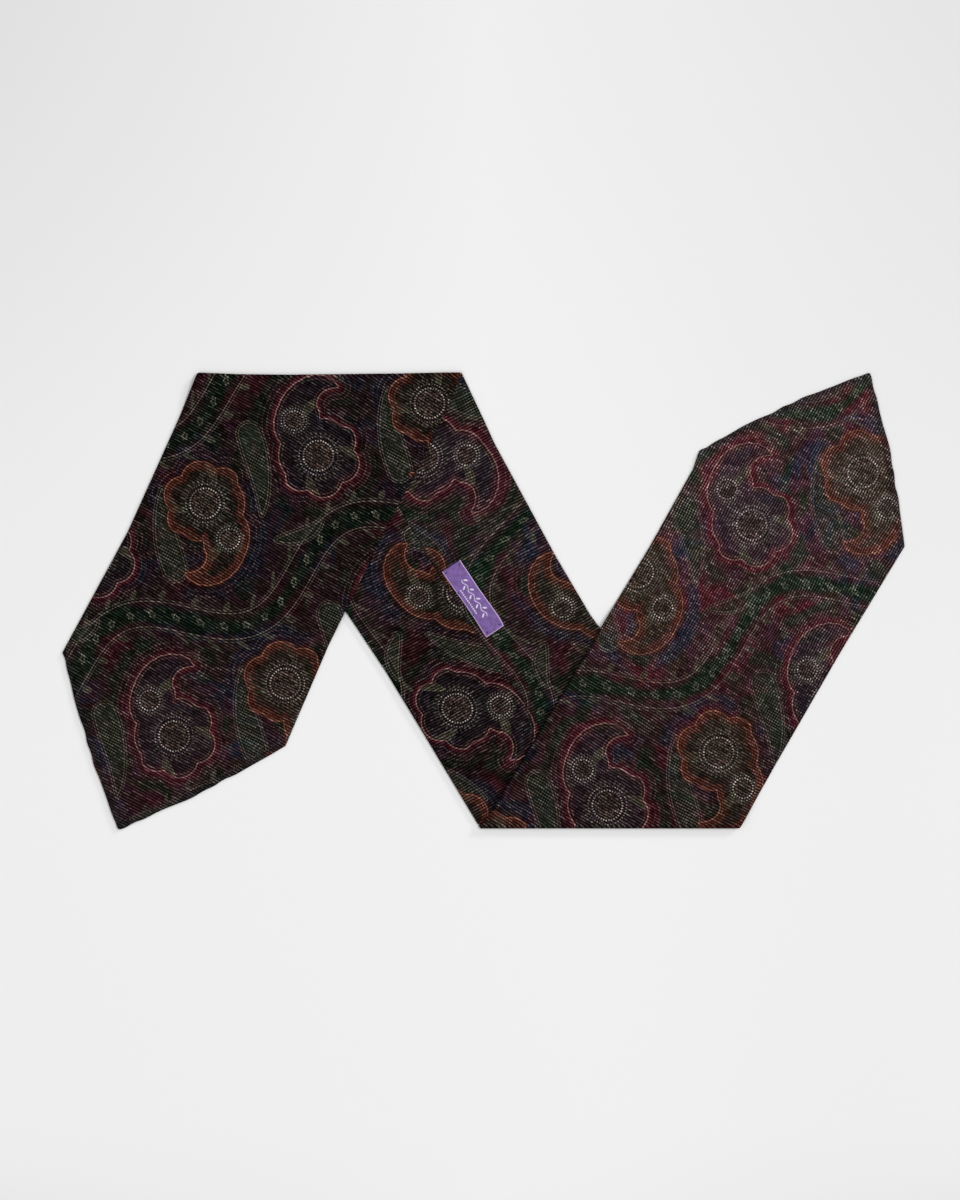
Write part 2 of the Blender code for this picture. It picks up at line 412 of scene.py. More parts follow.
# %% [markdown]
# ## The layout of the print
# This is a common way to lay out a paisley: a wavy stripe, and a boteh in each of its hollows, pointing up
# and down by turns. Slim buds and leaves fill the gaps, and beaded rings fill the botehs. The repeat is
# wrapped by taking each place's distance to the nearest copy of a motif.

# %% The repeat
REPEAT_A = 172.0  # along the stripes
REPEAT_B = 138.0  # from stripe to stripe
WAVE = 20.0  # how far a stripe sways
WAVE_STRETCH = 1.12  # how much longer it is for that
PRINT_TURN = -24.0
PRINT_START = (-262.0, 206.0)
BOTEHS = (
    Motif(44.0, 68.0, 72.0, 76.0, 29.0, 165.0, teardrop),
    Motif(130.0, 70.0, 252.0, 76.0, 29.0, 165.0, teardrop),
)
LOBE = 30.0  # from scallop to scallop
LOBE_DEPTH = 5.0
FILLERS = (
    Motif(92.0, 36.0, 96.0, 58.0, 10.0, 24.0, bud),
    Motif(6.0, 102.0, 276.0, 58.0, 10.0, 24.0, bud),
    Motif(80.0, 112.0, 20.0, 34.0, 4.0, -50.0, lens),
    Motif(166.0, 26.0, 200.0, 34.0, 4.0, -50.0, lens),
)
# In a boteh's own axes: u out along the tail, v sideways
Spray = namedtuple("Spray", "u v turn length radius bend")
SPRAYS = (
    Spray(-6.0, 15.0, 150.0, 22.0, 3.6, 40.0),
    Spray(-6.0, -15.0, -150.0, 22.0, 3.6, -40.0),
    Spray(28.0, 10.0, 70.0, 20.0, 3.2, 60.0),
)
Ring = namedtuple("Ring", "u v radius")
RINGS = (Ring(0.0, 0.0, 10.5), Ring(30.0, 4.0, 7.0))


def nearest_copy(value, period):
    return value - period * np.round(value / period)


def turn_axes(x, y, degrees):
    """The same place in axes that are turned to the left."""
    c, s = math.cos(math.radians(degrees)), math.sin(math.radians(degrees))
    return x * c + y * s, y * c - x * s


def on_print(flat):
    """The print's own axes for places on the flat cloth: a along its stripes, b across them."""
    return turn_axes(flat[:, 0] - PRINT_START[0], flat[:, 1] - PRINT_START[1], PRINT_TURN)


def own_axes(a, b, motif):
    """The axes of a motif's nearest copy: u the way it heads, v to the left of that."""
    away_a, away_b = nearest_copy(a - motif.a, REPEAT_A), nearest_copy(b - motif.b, REPEAT_B)
    return turn_axes(away_a, away_b, motif.heading)


def spray_motif(boteh, spray):
    """A spray leaf of one boteh, as a motif of the repeat."""
    a, b = turn_axes(spray.u, spray.v, -boteh.heading)
    heading = boteh.heading + spray.turn
    return Motif(boteh.a + a, boteh.b + b, heading, spray.length, spray.radius, spray.bend, lens)


print("The print repeats every", REPEAT_A, "by", REPEAT_B, "mm")

# %% [markdown]
# ## From motifs to vertex attributes
# Each vertex is given its distances to the nearest forms, and its place in the nearest ring's own axes. A
# ring's axes are stretched far beyond its reach, so that no false ring shows where the nearest one changes.

# %% Distances for every vertex
REACH = 1.7  # a ring and its rays, in ring radii
STRETCH = 40.0  # what is beyond them is stretched by this
BOTEH_STEPS = 14
FILLER_STEPS = 8
SPRAY_STEPS = 6


def form_distances(a, b):
    """Distances to botehs, fillers and sprays, and what the shader needs to dress them."""
    nearest = {name: np.full(a.shape, FAR_AWAY) for name in ("boteh", "filler", "spray")}
    found = {name: np.zeros(a.shape) for name in ("run", "kind", "leaf_u", "leaf_v")}
    for number, boteh in enumerate(BOTEHS):
        u, v = own_axes(a, b, boteh)
        distance, run, share = body_distance(u, v, boteh, BOTEH_STEPS)
        lobes = 1 - np.abs(np.sin(np.pi * run / LOBE)) ** 0.8
        distance = distance + LOBE_DEPTH * lobes * np.clip(1.6 - 3.0 * share, 0, 1)
        nearer = distance < nearest["boteh"]
        nearest["boteh"] = np.where(nearer, distance, nearest["boteh"])
        found["run"] = np.where(nearer, run, found["run"])
        found["kind"] = np.where(nearer, float(number), found["kind"])
        for spray in SPRAYS:
            leaf = spray_motif(boteh, spray)
            away = body_distance(*own_axes(a, b, leaf), leaf, SPRAY_STEPS)[0]
            nearest["spray"] = np.minimum(nearest["spray"], away)
    for leaf in FILLERS:
        u, v = own_axes(a, b, leaf)
        distance = body_distance(u, v, leaf, FILLER_STEPS)[0]
        nearer = distance < nearest["filler"]
        nearest["filler"] = np.where(nearer, distance, nearest["filler"])
        found["leaf_u"] = np.where(nearer, u, found["leaf_u"])
        found["leaf_v"] = np.where(nearer, v, found["leaf_v"])
    return nearest | found


def ring_axes(a, b):
    """Each place in the nearest ring's own axes, and that ring's radius."""
    x, y, radius = np.full(a.shape, 1e3), np.zeros(a.shape), np.ones(a.shape)
    for boteh in BOTEHS:
        u, v = own_axes(a, b, boteh)
        for ring in RINGS:
            nearer = np.hypot(u - ring.u, v - ring.v) / ring.radius < np.hypot(x, y) / radius
            x, y = np.where(nearer, u - ring.u, x), np.where(nearer, v - ring.v, y)
            radius = np.where(nearer, ring.radius, radius)
    beyond = np.hypot(x, y) / radius > REACH
    return np.where(beyond, x * STRETCH, x), np.where(beyond, y * STRETCH, y), radius


def stripe_axes(a, b):
    """The distance from the middle of the nearest wavy stripe, square to it, and the length along it."""
    turns = 2 * math.pi * a / REPEAT_A
    slope = WAVE * 2 * math.pi / REPEAT_A * np.cos(turns)
    return nearest_copy(b - WAVE * np.sin(turns), REPEAT_B) / np.sqrt(1 + slope**2), a * WAVE_STRETCH


# %% [markdown]
# ## The dyes
# The ground is nearly black aubergine. Soft pools of navy, bottle green and burgundy lie round the forms,
# and some have a band of burnt orange inside their outline. These washes are blurred, so a colour on each
# vertex is fine enough for them. A glint amount says how many painted glints the floats show at a place.
# Painted sheen brightens the strip toward the light at the upper right, so the narrow end is palest, and
# some stretches keep less of their red.

# %% Washes
GROUND = (0.031, 0.0110, 0.0130)
BROWN = (0.026, 0.017, 0.011)
NAVY = (0.009, 0.0135, 0.028)
BURGUNDY = (0.058, 0.0080, 0.0130)
GREEN = (0.006, 0.016, 0.008)
ORANGE = (0.078, 0.018, 0.010)
VIOLET = (0.021, 0.012, 0.018)
# A grey for the painted shade of a rolled hem's edge
RIM_SHADE_GREY = (0.0175, 0.0150, 0.0165)
PLUM = (0.040, 0.0120, 0.0195)
STRIPE_HALF = 6.5
# The band inside a hemmed edge carries painted shade of the rolled edge, and paler print
RIM_SHADE = 6.6  # the darker band inside a hemmed edge
# Painted sheen: a brightness gain along the strip, brighter toward the light at the upper right, and how much
# of its red each stretch keeps
SheenRow = namedtuple("SheenRow", "up faded red_kept")
SHEEN_ALONG = (
    SheenRow(-430.0, 2.55, 1.0),
    SheenRow(-340.0, 2.32, 1.0),
    SheenRow(-290.0, 1.92, 1.0),
    SheenRow(-230.0, 1.48, 1.0),
    SheenRow(-165.0, 1.12, 1.0),
    SheenRow(-130.0, 0.66, 0.96),
    SheenRow(-60.0, 0.68, 0.90),
    SheenRow(-20.0, 1.24, 0.84),
    SheenRow(40.0, 1.55, 0.78),
    SheenRow(125.0, 1.74, 0.80),
    SheenRow(165.0, 0.76, 0.90),
    SheenRow(300.0, 0.75, 0.92),
    SheenRow(430.0, 1.34, 1.0),
)


def near_level(distance, level, reach):
    """1 at a distance's level, fading to 0 at reach on both sides of it."""
    return 1 - smoothstep(np.abs(distance - level), 0.2 * reach, reach)


def dyed(colour, dye, mask):
    return colour * (1 - mask[:, None]) + np.array(dye) * mask[:, None]


def pools(a, b, first, second):
    """Slow blotches from -1 to 1, in bent rows, so that they don't line up."""
    bent = a / first + 1.9 * np.sin(b / (1.3 * second) + 0.7)
    return np.sin(bent) * np.sin(b / second - 1.4 * np.sin(a / (1.5 * first)) + 0.4)


def washes(a, b, forms, across):
    """The soft ground colour at each vertex."""
    boteh, orange = forms["boteh"], 1 - forms["kind"]
    inside = 1 - smoothstep(boteh, -6.0, -1.0)
    drift, patches = pools(a, b, 17.0, 14.0), pools(b, a, 9.0, 12.0)
    spots = pools(a + 40.0, b, 5.0, 6.5)
    navy_halo = near_level(boteh, 8.0, 7.0) * smoothstep(patches, -0.5, 0.3)
    green_halo = near_level(boteh, 12.0, 6.0) * smoothstep(drift, -0.4, 0.2)
    stripe = 1 - smoothstep(np.abs(across) + 2.5 * patches, 0.4 * STRIPE_HALF, 1.3 * STRIPE_HALF)
    glow = near_level(boteh, -1.0, 4.0) * orange * (0.2 + 0.5 * smoothstep(patches + spots, -0.6, 0.6))
    colour = np.ones((len(a), 3)) * np.array(GROUND)
    for dye, mask in (
        (BROWN, 0.6 * smoothstep(patches, 0.1, 0.6)),
        (BURGUNDY, 0.8 * smoothstep(drift + 0.5 * spots, 0.2, 0.8)),
        (NAVY, 0.85 * smoothstep(-drift + 0.4 * spots, 0.3, 0.8)),
        (PLUM, 0.8 * smoothstep(spots - 0.4 * drift, 0.1, 0.7)),
        (GREEN, 0.6 * smoothstep(-patches - 0.4 * spots, 0.5, 0.9)),
        (NAVY, 0.7 * orange * navy_halo),
        (GREEN, 0.7 * (1 - orange) * green_halo),
        (BURGUNDY, 0.8 * near_level(boteh, 1.8, 3.6) * (1 - orange)),
        (GREEN, 0.9 * stripe * smoothstep(boteh, 0.0, 3.0)),
        (BROWN, 0.8 * inside * orange),
        (VIOLET, 0.8 * inside * (1 - orange)),
        (ORANGE, glow),
    ):
        colour = dyed(colour, dye, mask)
    return colour


def store(mesh, name, *columns):
    """A named attribute on the vertices, from its columns: a vector of three, or a colour of four."""
    values = np.column_stack(columns)
    kind, field = ("FLOAT_VECTOR", "vector") if values.shape[1] == 3 else ("FLOAT_COLOR", "color")
    mesh.attributes.new(name, kind, "POINT").data.foreach_set(field, values.ravel())


def print_cloth(mesh, flat, rim):
    """Stores the print and the run of the threads on a mesh.

    flat is each vertex's place on the flat cloth. rim is how far it is from a hemmed edge: there the cloth
    gets painted shade of its rolled edge, and its print is paler, so its lines fade."""
    a, b = on_print(flat)
    forms = form_distances(a, b)
    across, along = stripe_axes(a, b)
    # Painted shade: a grey band inside a hemmed edge stands for the shade of its rolled edge, where the print
    # is paler too
    dark = 0.75 * (1 - smoothstep(rim, 0.3 * RIM_SHADE, RIM_SHADE))
    colour = dyed(washes(a, b, forms, across), RIM_SHADE_GREY, dark)
    # Painted sheen along the strip, and less red on some stretches
    sheen = from_rows(SHEEN_ALONG, flat[:, 1], "faded")
    colour *= sheen[:, None]
    colour[:, 0] *= from_rows(SHEEN_ALONG, flat[:, 1], "red_kept")
    # How many painted glints the floats show: more with the painted sheen and over the sprays, fewer in a
    # hem's painted shade
    leafy = 1.3 * (1 - smoothstep(forms["spray"], -1.5, 0.5)) * (forms["boteh"] < -1.5)
    patchy = np.maximum(0.75 * pools(a, b, 11.0, 23.0) + 0.45 * pools(b, a, 6.0, 4.5), -0.75)
    glint_amount = sheen * (0.85 + (patchy + leafy) / np.maximum(sheen, 1.0)) * (1 - 0.4 * dark)
    # The wash's alpha fades the lines in that band of painted shade and paler print
    store(mesh, "wash", colour, 1 - dark)
    store(mesh, "forms", forms["boteh"], forms["filler"], forms["spray"])
    store(mesh, "dress", forms["run"], forms["leaf_u"], forms["leaf_v"])
    store(mesh, "stripe", across, along, forms["kind"])
    store(mesh, "ring", *ring_axes(a, b))
    along, across = flat @ ALONG, flat @ ACROSS
    along = along + 0.5 * pools(along, across, 8.0, 12.0) + 1.2 * np.sin(across / 31.0 + along / 90.0)
    across = across + 0.6 * pools(across, along, 9.0, 7.0)
    store(mesh, "threads", along, across, glint_amount)


# %% [markdown]
# ## Creases and unevenness
# Silk that has been folded and put down is never quite level. The face that shows gets low waves, a few
# listed creases of their own length, width and depth, and puckers by the seam, whose edges dip into a
# groove. The wall's inside stays where it is, so nothing pokes through.

# %% Relief
Crease = namedtuple("Crease", "x y angle length width height")
CREASES = (
    Crease(-236.0, -104.0, 24.0, 60.0, 6.0, 0.5),
    Crease(-205.0, -40.0, 62.0, 90.0, 9.0, 0.35),
    Crease(-150.0, 40.0, 58.0, 120.0, 10.0, 0.3),
    Crease(-262.0, -60.0, 70.0, 50.0, 5.0, -0.3),
    Crease(-120.0, 118.0, 8.0, 90.0, 7.0, 0.35),
    Crease(-60.0, 60.0, 50.0, 60.0, 8.0, -0.25),
    Crease(20.0, 90.0, -62.0, 80.0, 9.0, 0.3),
    Crease(-30.0, -60.0, -55.0, 90.0, 8.0, 0.3),
    Crease(52.0, 12.0, -50.0, 70.0, 7.0, -0.25),
    Crease(90.0, -120.0, 8.0, 90.0, 8.0, 0.35),
    Crease(150.0, -40.0, 58.0, 110.0, 10.0, 0.3),
    Crease(215.0, 60.0, 60.0, 90.0, 8.0, 0.35),
    Crease(240.0, 100.0, 30.0, 60.0, 6.0, 0.4),
    Crease(205.0, -10.0, 52.0, 70.0, 6.0, -0.25),
)
WAVE_HEIGHT = 0.22
SEAM_DIP = 0.7
SEAM_REACH = 1.5
SEAM_RIDGE = 0.16
SEAM_PUCKER = 0.12
NECK_SAG = 0.92  # less than a ply, so that the wall stays closed


def relief(x, y):
    """Height of the cloth over its flat form, in the laid-out scarf's own axes."""
    bent_x, bent_y = x / 17.0 + 2.0 * np.sin(y / 41.0), y / 23.0 + 1.5 * np.sin(x / 37.0)
    rise = WAVE_HEIGHT * np.sin(bent_x) * np.sin(bent_y)
    for crease in CREASES:
        along, away = turn_axes(x - crease.x, y - crease.y, crease.angle)
        away = away + 2.0 * np.sin(along / 19.0)
        fade = np.exp(-((2 * along / crease.length) ** 4))
        rise = rise + crease.height * fade * np.exp(-((away / crease.width) ** 2))
    return rise


def seam_groove(points):
    """How far the cloth dips beside the seam, with puckers of uneven spacing along it."""
    offset = np.abs(points[:, 0] - seam_x(points[:, 1])) * ACROSS[0]
    up = points[:, 1]
    pucker = SEAM_PUCKER * np.sin(up / 2.3 + 2.0 * np.sin(up / 17.0)) * np.exp(-((offset / 5.0) ** 2))
    ridge = SEAM_RIDGE * np.exp(-(((offset - 3.2) / 1.6) ** 2))
    return SEAM_DIP * np.exp(-((offset / SEAM_REACH) ** 2)) - ridge - pucker


def past_blades(points):
    """How far points of the flat neck lie outside the blades on it: the wide one, then the narrow one."""
    mirror = 2 * TURN_START + TURN_LENGTH
    wide_up, narrow_up = mirror - points[:, 1], -mirror - points[:, 1]
    past_wide = (points[:, 0] - middle_x(wide_up) - half_width(wide_up)) * ACROSS[0]
    past_narrow = (middle_x(narrow_up) - half_width(narrow_up) - points[:, 0]) * ACROSS[0]
    return past_wide, past_narrow


# %% [markdown]
# ## Making the three stretches
# The neck is a wrapped grid, printed and creased where it lies. A blade goes through more steps: wrap the
# grid, trim the end, print it from its places on the flat cloth, then fold, let down and crease. Where a
# blade crosses the neck its long edge rolls up a little, and under the narrow one the neck sags. The upper
# fold isn't quite level, so its cloth slips in by a millimetre or so. The mesh is turned into metres last,
# and stands where the frame's own piece stands.

# %% Making cloth
FOLD_PLACES = (-201.0, -170.0, -135.0, -100.0, -58.0, -26.0)
FOLD_SLIP = (0.0, 1.25, 1.55, 1.15, 0.7, 0.0)
SLIP_FROM = 110.0  # how far up the slip starts
SLIP_TO = 158.0  # and is whole
ROLL_REACH = 3.4
ROLL_CREST = 0.6  # where in its reach the roll is highest
ROLL_LIFT = {-1: 0.3, 1: 3.0}  # of the wide blade's long edge and the narrow one's
ROLL_DRAW = 0.5
SKIN = 0.9  # how deep in a wall its face still moves it
LOOSE = 12.0  # how far past a fold-over the cloth is loose again
RELIEF_CLEAR = 3.5  # how far past a blade's long edge the neck's relief is whole
SAG_FROM = 0.5  # how far past the narrow blade's long edge the sag starts to fade
SAG_TO = 4.5
NO_RIM = 99.0
HIDDEN_STEPS = 12  # columns of a flap or half a front that nobody sees
INNER_STEPS = 10  # columns of half the tube's inside


def vertex_array(mesh):
    points = np.empty(len(mesh.vertices) * 3)
    mesh.vertices.foreach_get("co", points)
    return points.reshape(-1, 3)


def finished(name, bm):
    """An object holding the bmesh, with its faces pointing out."""
    bmesh.ops.recalc_face_normals(bm, faces=bm.faces[:])
    mesh = bpy.data.meshes.new(name)
    bm.to_mesh(mesh)
    bm.free()
    made = bpy.data.objects.new(name, mesh)
    scene.collection.objects.link(made)
    return made


def set_down(piece, points):
    """Gives a piece's vertices their last places, in metres, and shades them smooth."""
    points = points.copy()
    slip = np.interp(points[:, 0], FOLD_PLACES, FOLD_SLIP)
    points[:, 1] -= slip * smoothstep(points[:, 1], SLIP_FROM, SLIP_TO)
    points = (points + np.array(shift)) * MM
    piece.data.vertices.foreach_set("co", points.ravel())
    piece.data.shade_smooth()
    piece.data.update()
    low, high = (np.round(corner / MM, 1) for corner in (points.min(axis=0), points.max(axis=0)))
    print(f"{piece.name}: {len(piece.data.polygons)} faces, {low} to {high} mm")


def even_steps(start, end, pitch):
    count = max(1, round(abs(end - start) / pitch))
    return [start + (end - start) * i / count for i in range(count + 1)]


def lay(points, side):
    """Folds points of a blade over, lets them down and creases the face that shows."""
    shown = 1 - smoothstep(points[:, 2], 0.0, SKIN)
    past_fold = smoothstep(np.abs(points[:, 1]) - TURN_END, 0.0, LOOSE)
    laid = let_down(fold_over(points), side)
    from_edge = (half_width(points[:, 1]) + side * (points[:, 0] - middle_x(points[:, 1]))) * ACROSS[0]
    on_neck = 1 - smoothstep(past_neck(laid, side), -LOOSE, 4.0)
    roll = np.exp(-((np.maximum(from_edge, 0.0) / ROLL_REACH - ROLL_CREST) ** 2))
    lift = ROLL_LIFT[side] * past_fold * on_neck * roll
    laid[:, 0] += side * ROLL_DRAW * lift
    laid[:, 2] += lift * (0.3 + 0.7 * shown)
    laid[:, 2] += shown * past_fold * relief(laid[:, 0], laid[:, 1])
    return laid


def lay_wide(points):
    return lay(points, -1)


def lay_narrow(points):
    return lay(points, 1)


def lay_flat(points):
    return points


def make_neck():
    """The flat middle stretch, with its back up."""
    columns = tube_columns(2 * HIDDEN_STEPS, front_steps // 2, INNER_STEPS)
    piece = finished("neck_cloth", wrap_tube(columns, even_steps(NECK_END, -NECK_END, FINE)))
    points = vertex_array(piece.data)
    print_cloth(piece.data, on_flat_cloth(points), np.full(len(points), NO_RIM))
    shown = smoothstep(points[:, 2], TUBE - SKIN, TUBE)
    past_wide, past_narrow = past_blades(points)
    free = shown * smoothstep(np.minimum(past_wide, past_narrow), 0.0, RELIEF_CLEAR)
    pressed = NECK_SAG * shown * (1 - smoothstep(past_narrow, SAG_FROM, SAG_TO))
    dip = np.maximum(shown * np.maximum(seam_groove(points), 0), pressed)
    points[:, 2] += free * relief(points[:, 0], points[:, 1]) - dip
    set_down(piece, points)
    return piece


def rim_distance(points, end):
    """How far points are from the slanted edges of an end, measured level."""
    nearest = np.full(len(points), NO_RIM)
    outline = end_outline(end)
    for start, finish in zip(outline, outline[1:]):
        inward = level_normal(start, finish, end)
        away = (points[:, 0] - start.x) * inward.x + (points[:, 1] - start.y) * inward.y
        nearest = np.minimum(nearest, np.abs(away))
    return nearest


def make_blade(name, end, lay_down):
    """The stretch past one fold, with its front up once it is folded over."""
    columns = tube_columns(front_steps, HIDDEN_STEPS, INNER_STEPS)
    turn = [TURN_START + TURN_LENGTH * i / TURN_STEPS for i in range(TURN_STEPS)]
    furthest = abs(end.tip_y) + 2 * FINE
    ups = turn + even_steps(TURN_END, furthest, FINE)
    bm = wrap_tube(columns, [math.copysign(up, end.tip_y) for up in ups])
    trim_end(bm, end)
    piece = finished(name, bm)
    points = vertex_array(piece.data)
    print_cloth(piece.data, on_flat_cloth(points), rim_distance(points, end))
    on_back = smoothstep(points[:, 2], TUBE - SKIN, TUBE)
    points[:, 2] -= on_back * np.maximum(seam_groove(points), 0)
    set_down(piece, lay_down(points))
    return piece


neck = make_neck()
wide_blade = make_blade("wide_blade_cloth", WIDE_END, lay_wide)
narrow_blade = make_blade("narrow_blade_cloth", NARROW_END, lay_narrow)

# %% [markdown]
# ## Rolled hems
# The raw edges of the two ends are rolled under and slip-stitched, which draws the cloth up a little
# between stitches. A grid is wrapped again, this time round a small roll that follows the outline: round
# outside, and nearly square where it meets the cloth, so that the face runs on. The point is rounded off,
# because cloth can't be turned sharply, and the outer line wanders a little.

# %% Hems
HEM_PITCH = 1.0
HEM_AROUND = 22
HEM_SEAM = 0.12  # between the roll and the cloth
STITCH_PITCH = 4.6
TIP_ROUNDS = 3
EASE = 0.3  # extra rows so close to the outline's two ends
NEARLY_SQUARE = 0.25  # a power, where 1 would keep the roll round


def hem_ways(outline, end):
    """The level way into the strip at each corner of an outline, mitred, with a long edge's at each end."""
    normals = [level_normal(start, finish, end) for start, finish in zip(outline, outline[1:])]
    back = -math.copysign(HEM_WIDTH, end.tip_y)
    along_left = side_point(end.left_shoulder + back, -1) - outline[0]
    along_right = side_point(end.right_shoulder + back, 1) - outline[-1]
    mitres = [(a + b) / (1 + a.dot(b)) for a, b in zip(normals, normals[1:])]
    return [along_left / along_left.dot(normals[0])] + mitres + [along_right / along_right.dot(normals[-1])]


def hem_lines(end, pitch):
    """A hem's outer line and its line where it meets the cloth, in rows a pitch apart, and their lengths."""
    outline = end_outline(end)
    corners, ways = (np.array([v[:2] for v in vectors]) for vectors in (outline, hem_ways(outline, end)))
    lengths = np.concatenate([[0.0], np.cumsum(np.linalg.norm(np.diff(corners, axis=0), axis=1))])
    whole = lengths[-1]
    ease = min(EASE, pitch / 4)
    rows = np.linspace(0.0, whole, round(whole / pitch) + 1)
    length = np.unique(np.concatenate([rows, [ease, 2 * ease, whole - ease, whole - 2 * ease]]))

    def at_rows(values):
        return np.column_stack([np.interp(length, lengths, values[:, i]) for i in (0, 1)])

    line, way = at_rows(corners), at_rows(ways)
    outer = line.copy()
    for _ in range(TIP_ROUNDS):
        outer[3:-3] = (outer[2:-4] + 2 * outer[3:-3] + outer[4:-2]) / 4
    quick, slow = np.sin(length / 3.7 + 1.6 * np.sin(length / 11.0)), np.sin(length / 8.3 + 1.0)
    uneven = 0.3 * quick + 0.3 * slow + 0.25
    outer += way * (uneven * smoothstep(np.minimum(length, whole - length), 0.0, 8.0))[:, None]
    return outer, line + way * (HEM_WIDTH + GAP - HEM_SEAM), length


def make_hem(name, end, lay_down):
    outer, inner, length = hem_lines(end, HEM_PITCH)
    bm = bmesh.new()
    bmesh.ops.create_grid(bm, x_segments=HEM_AROUND, y_segments=len(length) - 1, size=1.0)
    turn = np.linspace(0, 2 * np.pi, HEM_AROUND + 1)
    inner_side = np.cos(turn) > 0
    level = np.sign(np.cos(turn)) * np.abs(np.cos(turn)) ** np.where(inner_side, NEARLY_SQUARE, 0.9)
    height = np.sign(np.sin(turn)) * np.abs(np.sin(turn)) ** np.where(inner_side, NEARLY_SQUARE, 0.7)
    to_end = np.minimum(length, length[-1] - length) / ROUND_OUT
    thick = np.sqrt(np.clip(1 - (1 - np.clip(to_end, 0, 1)) ** 2, 0.06, 1))
    dip = 0.05 + 0.05 * np.cos(2 * np.pi * length / STITCH_PITCH) + 0.04 * np.sin(length / 2.9 + 1.0)
    for i, vert in enumerate(bm.verts):
        ring, place = divmod(i, HEM_AROUND + 1)
        spot = outer[ring] + (inner[ring] - outer[ring]) * (1 + level[place]) / 2
        middle_dip = dip[ring] * (1 - level[place] ** 2)
        vert.co = (*spot, TUBE / 2 + (TUBE / 2 - max(middle_dip, 0)) * height[place] * thick[ring])
    bmesh.ops.remove_doubles(bm, verts=bm.verts, dist=0.01)
    bmesh.ops.holes_fill(bm, edges=[edge for edge in bm.edges if edge.is_boundary], sides=0)
    piece = finished(name, bm)
    points = vertex_array(piece.data)
    print_cloth(piece.data, points[:, :2], rim_distance(points, end))
    set_down(piece, lay_down(points))
    return piece


wide_hem = make_hem("wide_hem_roll", WIDE_END, lay_wide)
narrow_hem = make_hem("narrow_hem_roll", NARROW_END, lay_narrow)

# %% [markdown]
# ## The woven label
# A label like this is a narrow tape woven in two colours, cut off, its ends turned under, and tacked at a
# few places with thread. It is a flat grid with a thickness. Between its tacks it stands off the cloth a
# little, and its long edges stray. It bears a small woven sprig, and no words.

# %% Label
LABEL_TOP = 19.9
LABEL_BOTTOM = -26.2
LABEL_OFF_TOP = 3.1  # from the seam to the label's left edge
LABEL_OFF_BOTTOM = 4.4
LABEL_WIDTH = 15.4
TAPE_THICK = 0.4
TAPE_GAP = 0.15  # between the tape and the cloth at the tacks
TAPE_CELL = 0.5
TAPE_STAND = 0.72  # how far its middle stands off
TAPE_TURNING = 0.3  # what the turned-under ends add
EDGE_PLACES = (-23.3, -13.9, -4.4, 4.4, 13.9, 23.3)
LEFT_EDGE = (0.33, 0.72, 0.74, 0.60, 0.32, 0.14)
RIGHT_EDGE = (0.54, 0.40, 0.07, -0.18, -0.13, -0.06)

label_start = Vector((float(seam_x(LABEL_TOP)) + LABEL_OFF_TOP, LABEL_TOP, 0.0))
label_run = Vector((float(seam_x(LABEL_BOTTOM)) + LABEL_OFF_BOTTOM, LABEL_BOTTOM, 0.0)) - label_start
LABEL_LENGTH = label_run.length
label_along = label_run.normalized()
label_right = Vector((-label_along.y, label_along.x, 0.0))
label_middle = label_start + label_run / 2 + label_right * LABEL_WIDTH / 2


def tape_height(x, y):
    """The tape's underside over the cloth: flat by its tacked ends, standing off between them."""
    between = np.sqrt(np.maximum(np.cos(np.pi * y / LABEL_LENGTH), 0))
    bow = TAPE_STAND * (0.7 + 0.3 * np.cos(np.pi * x / LABEL_WIDTH)) * between
    ripple = 0.16 * np.sin(y / 4.1 + 0.5) * np.sin(x / 3.7 + 0.8)
    return TUBE + TAPE_GAP + np.maximum(bow + ripple, 0)


def tape_wander(x, y):
    """How far the tape strays to the right of a straight one, from its left edge across to its right one."""
    share = x / LABEL_WIDTH + 0.5
    left, right = np.interp(y, EDGE_PLACES, LEFT_EDGE), np.interp(y, EDGE_PLACES, RIGHT_EDGE)
    return left + (right - left) * share


def turn_under(y):
    """How much the turned-under end thickens the tape."""
    return TAPE_TURNING * (1 - smoothstep(LABEL_LENGTH / 2 - np.abs(y), 2.6, 3.4))


def make_label():
    """The tape, with its lower right corner drawn in a little."""
    bm = bmesh.new()
    columns, rows = round(LABEL_WIDTH / TAPE_CELL), round(LABEL_LENGTH / TAPE_CELL)
    bmesh.ops.create_grid(bm, x_segments=columns, y_segments=rows, size=1.0)
    bmesh.ops.scale(bm, vec=(LABEL_WIDTH / 2, LABEL_LENGTH / 2, 1.0), verts=bm.verts)
    bmesh.ops.solidify(bm, geom=bm.faces[:], thickness=-TAPE_THICK)
    piece = finished("label_tape", bm)
    own = vertex_array(piece.data)
    store(piece.data, "tape", own)
    edge = np.minimum(LABEL_WIDTH / 2 - np.abs(own[:, 0]), LABEL_LENGTH / 2 - np.abs(own[:, 1]))
    level = (own[:, 2] - own[:, 2].min()) / TAPE_THICK
    soften = 0.12 * (1 - smoothstep(edge, 0.0, 0.5))
    height = tape_height(own[:, 0], own[:, 1]) + level * (TAPE_THICK + turn_under(own[:, 1]) - soften)
    own[:, 0] += tape_wander(own[:, 0], own[:, 1])
    drawn_in = smoothstep(-own[:, 1], LABEL_LENGTH / 2 - 6.0, LABEL_LENGTH / 2 + 1.0)
    own[:, 0] -= 0.9 * drawn_in * smoothstep(own[:, 0], -LABEL_WIDTH / 2, LABEL_WIDTH / 2)
    spots = np.outer(own[:, 0], np.array(label_right)) - np.outer(own[:, 1], np.array(label_along))
    spots += np.array(label_middle)
    spots[:, 2] = height
    set_down(piece, spots)
    return piece


label = make_label()

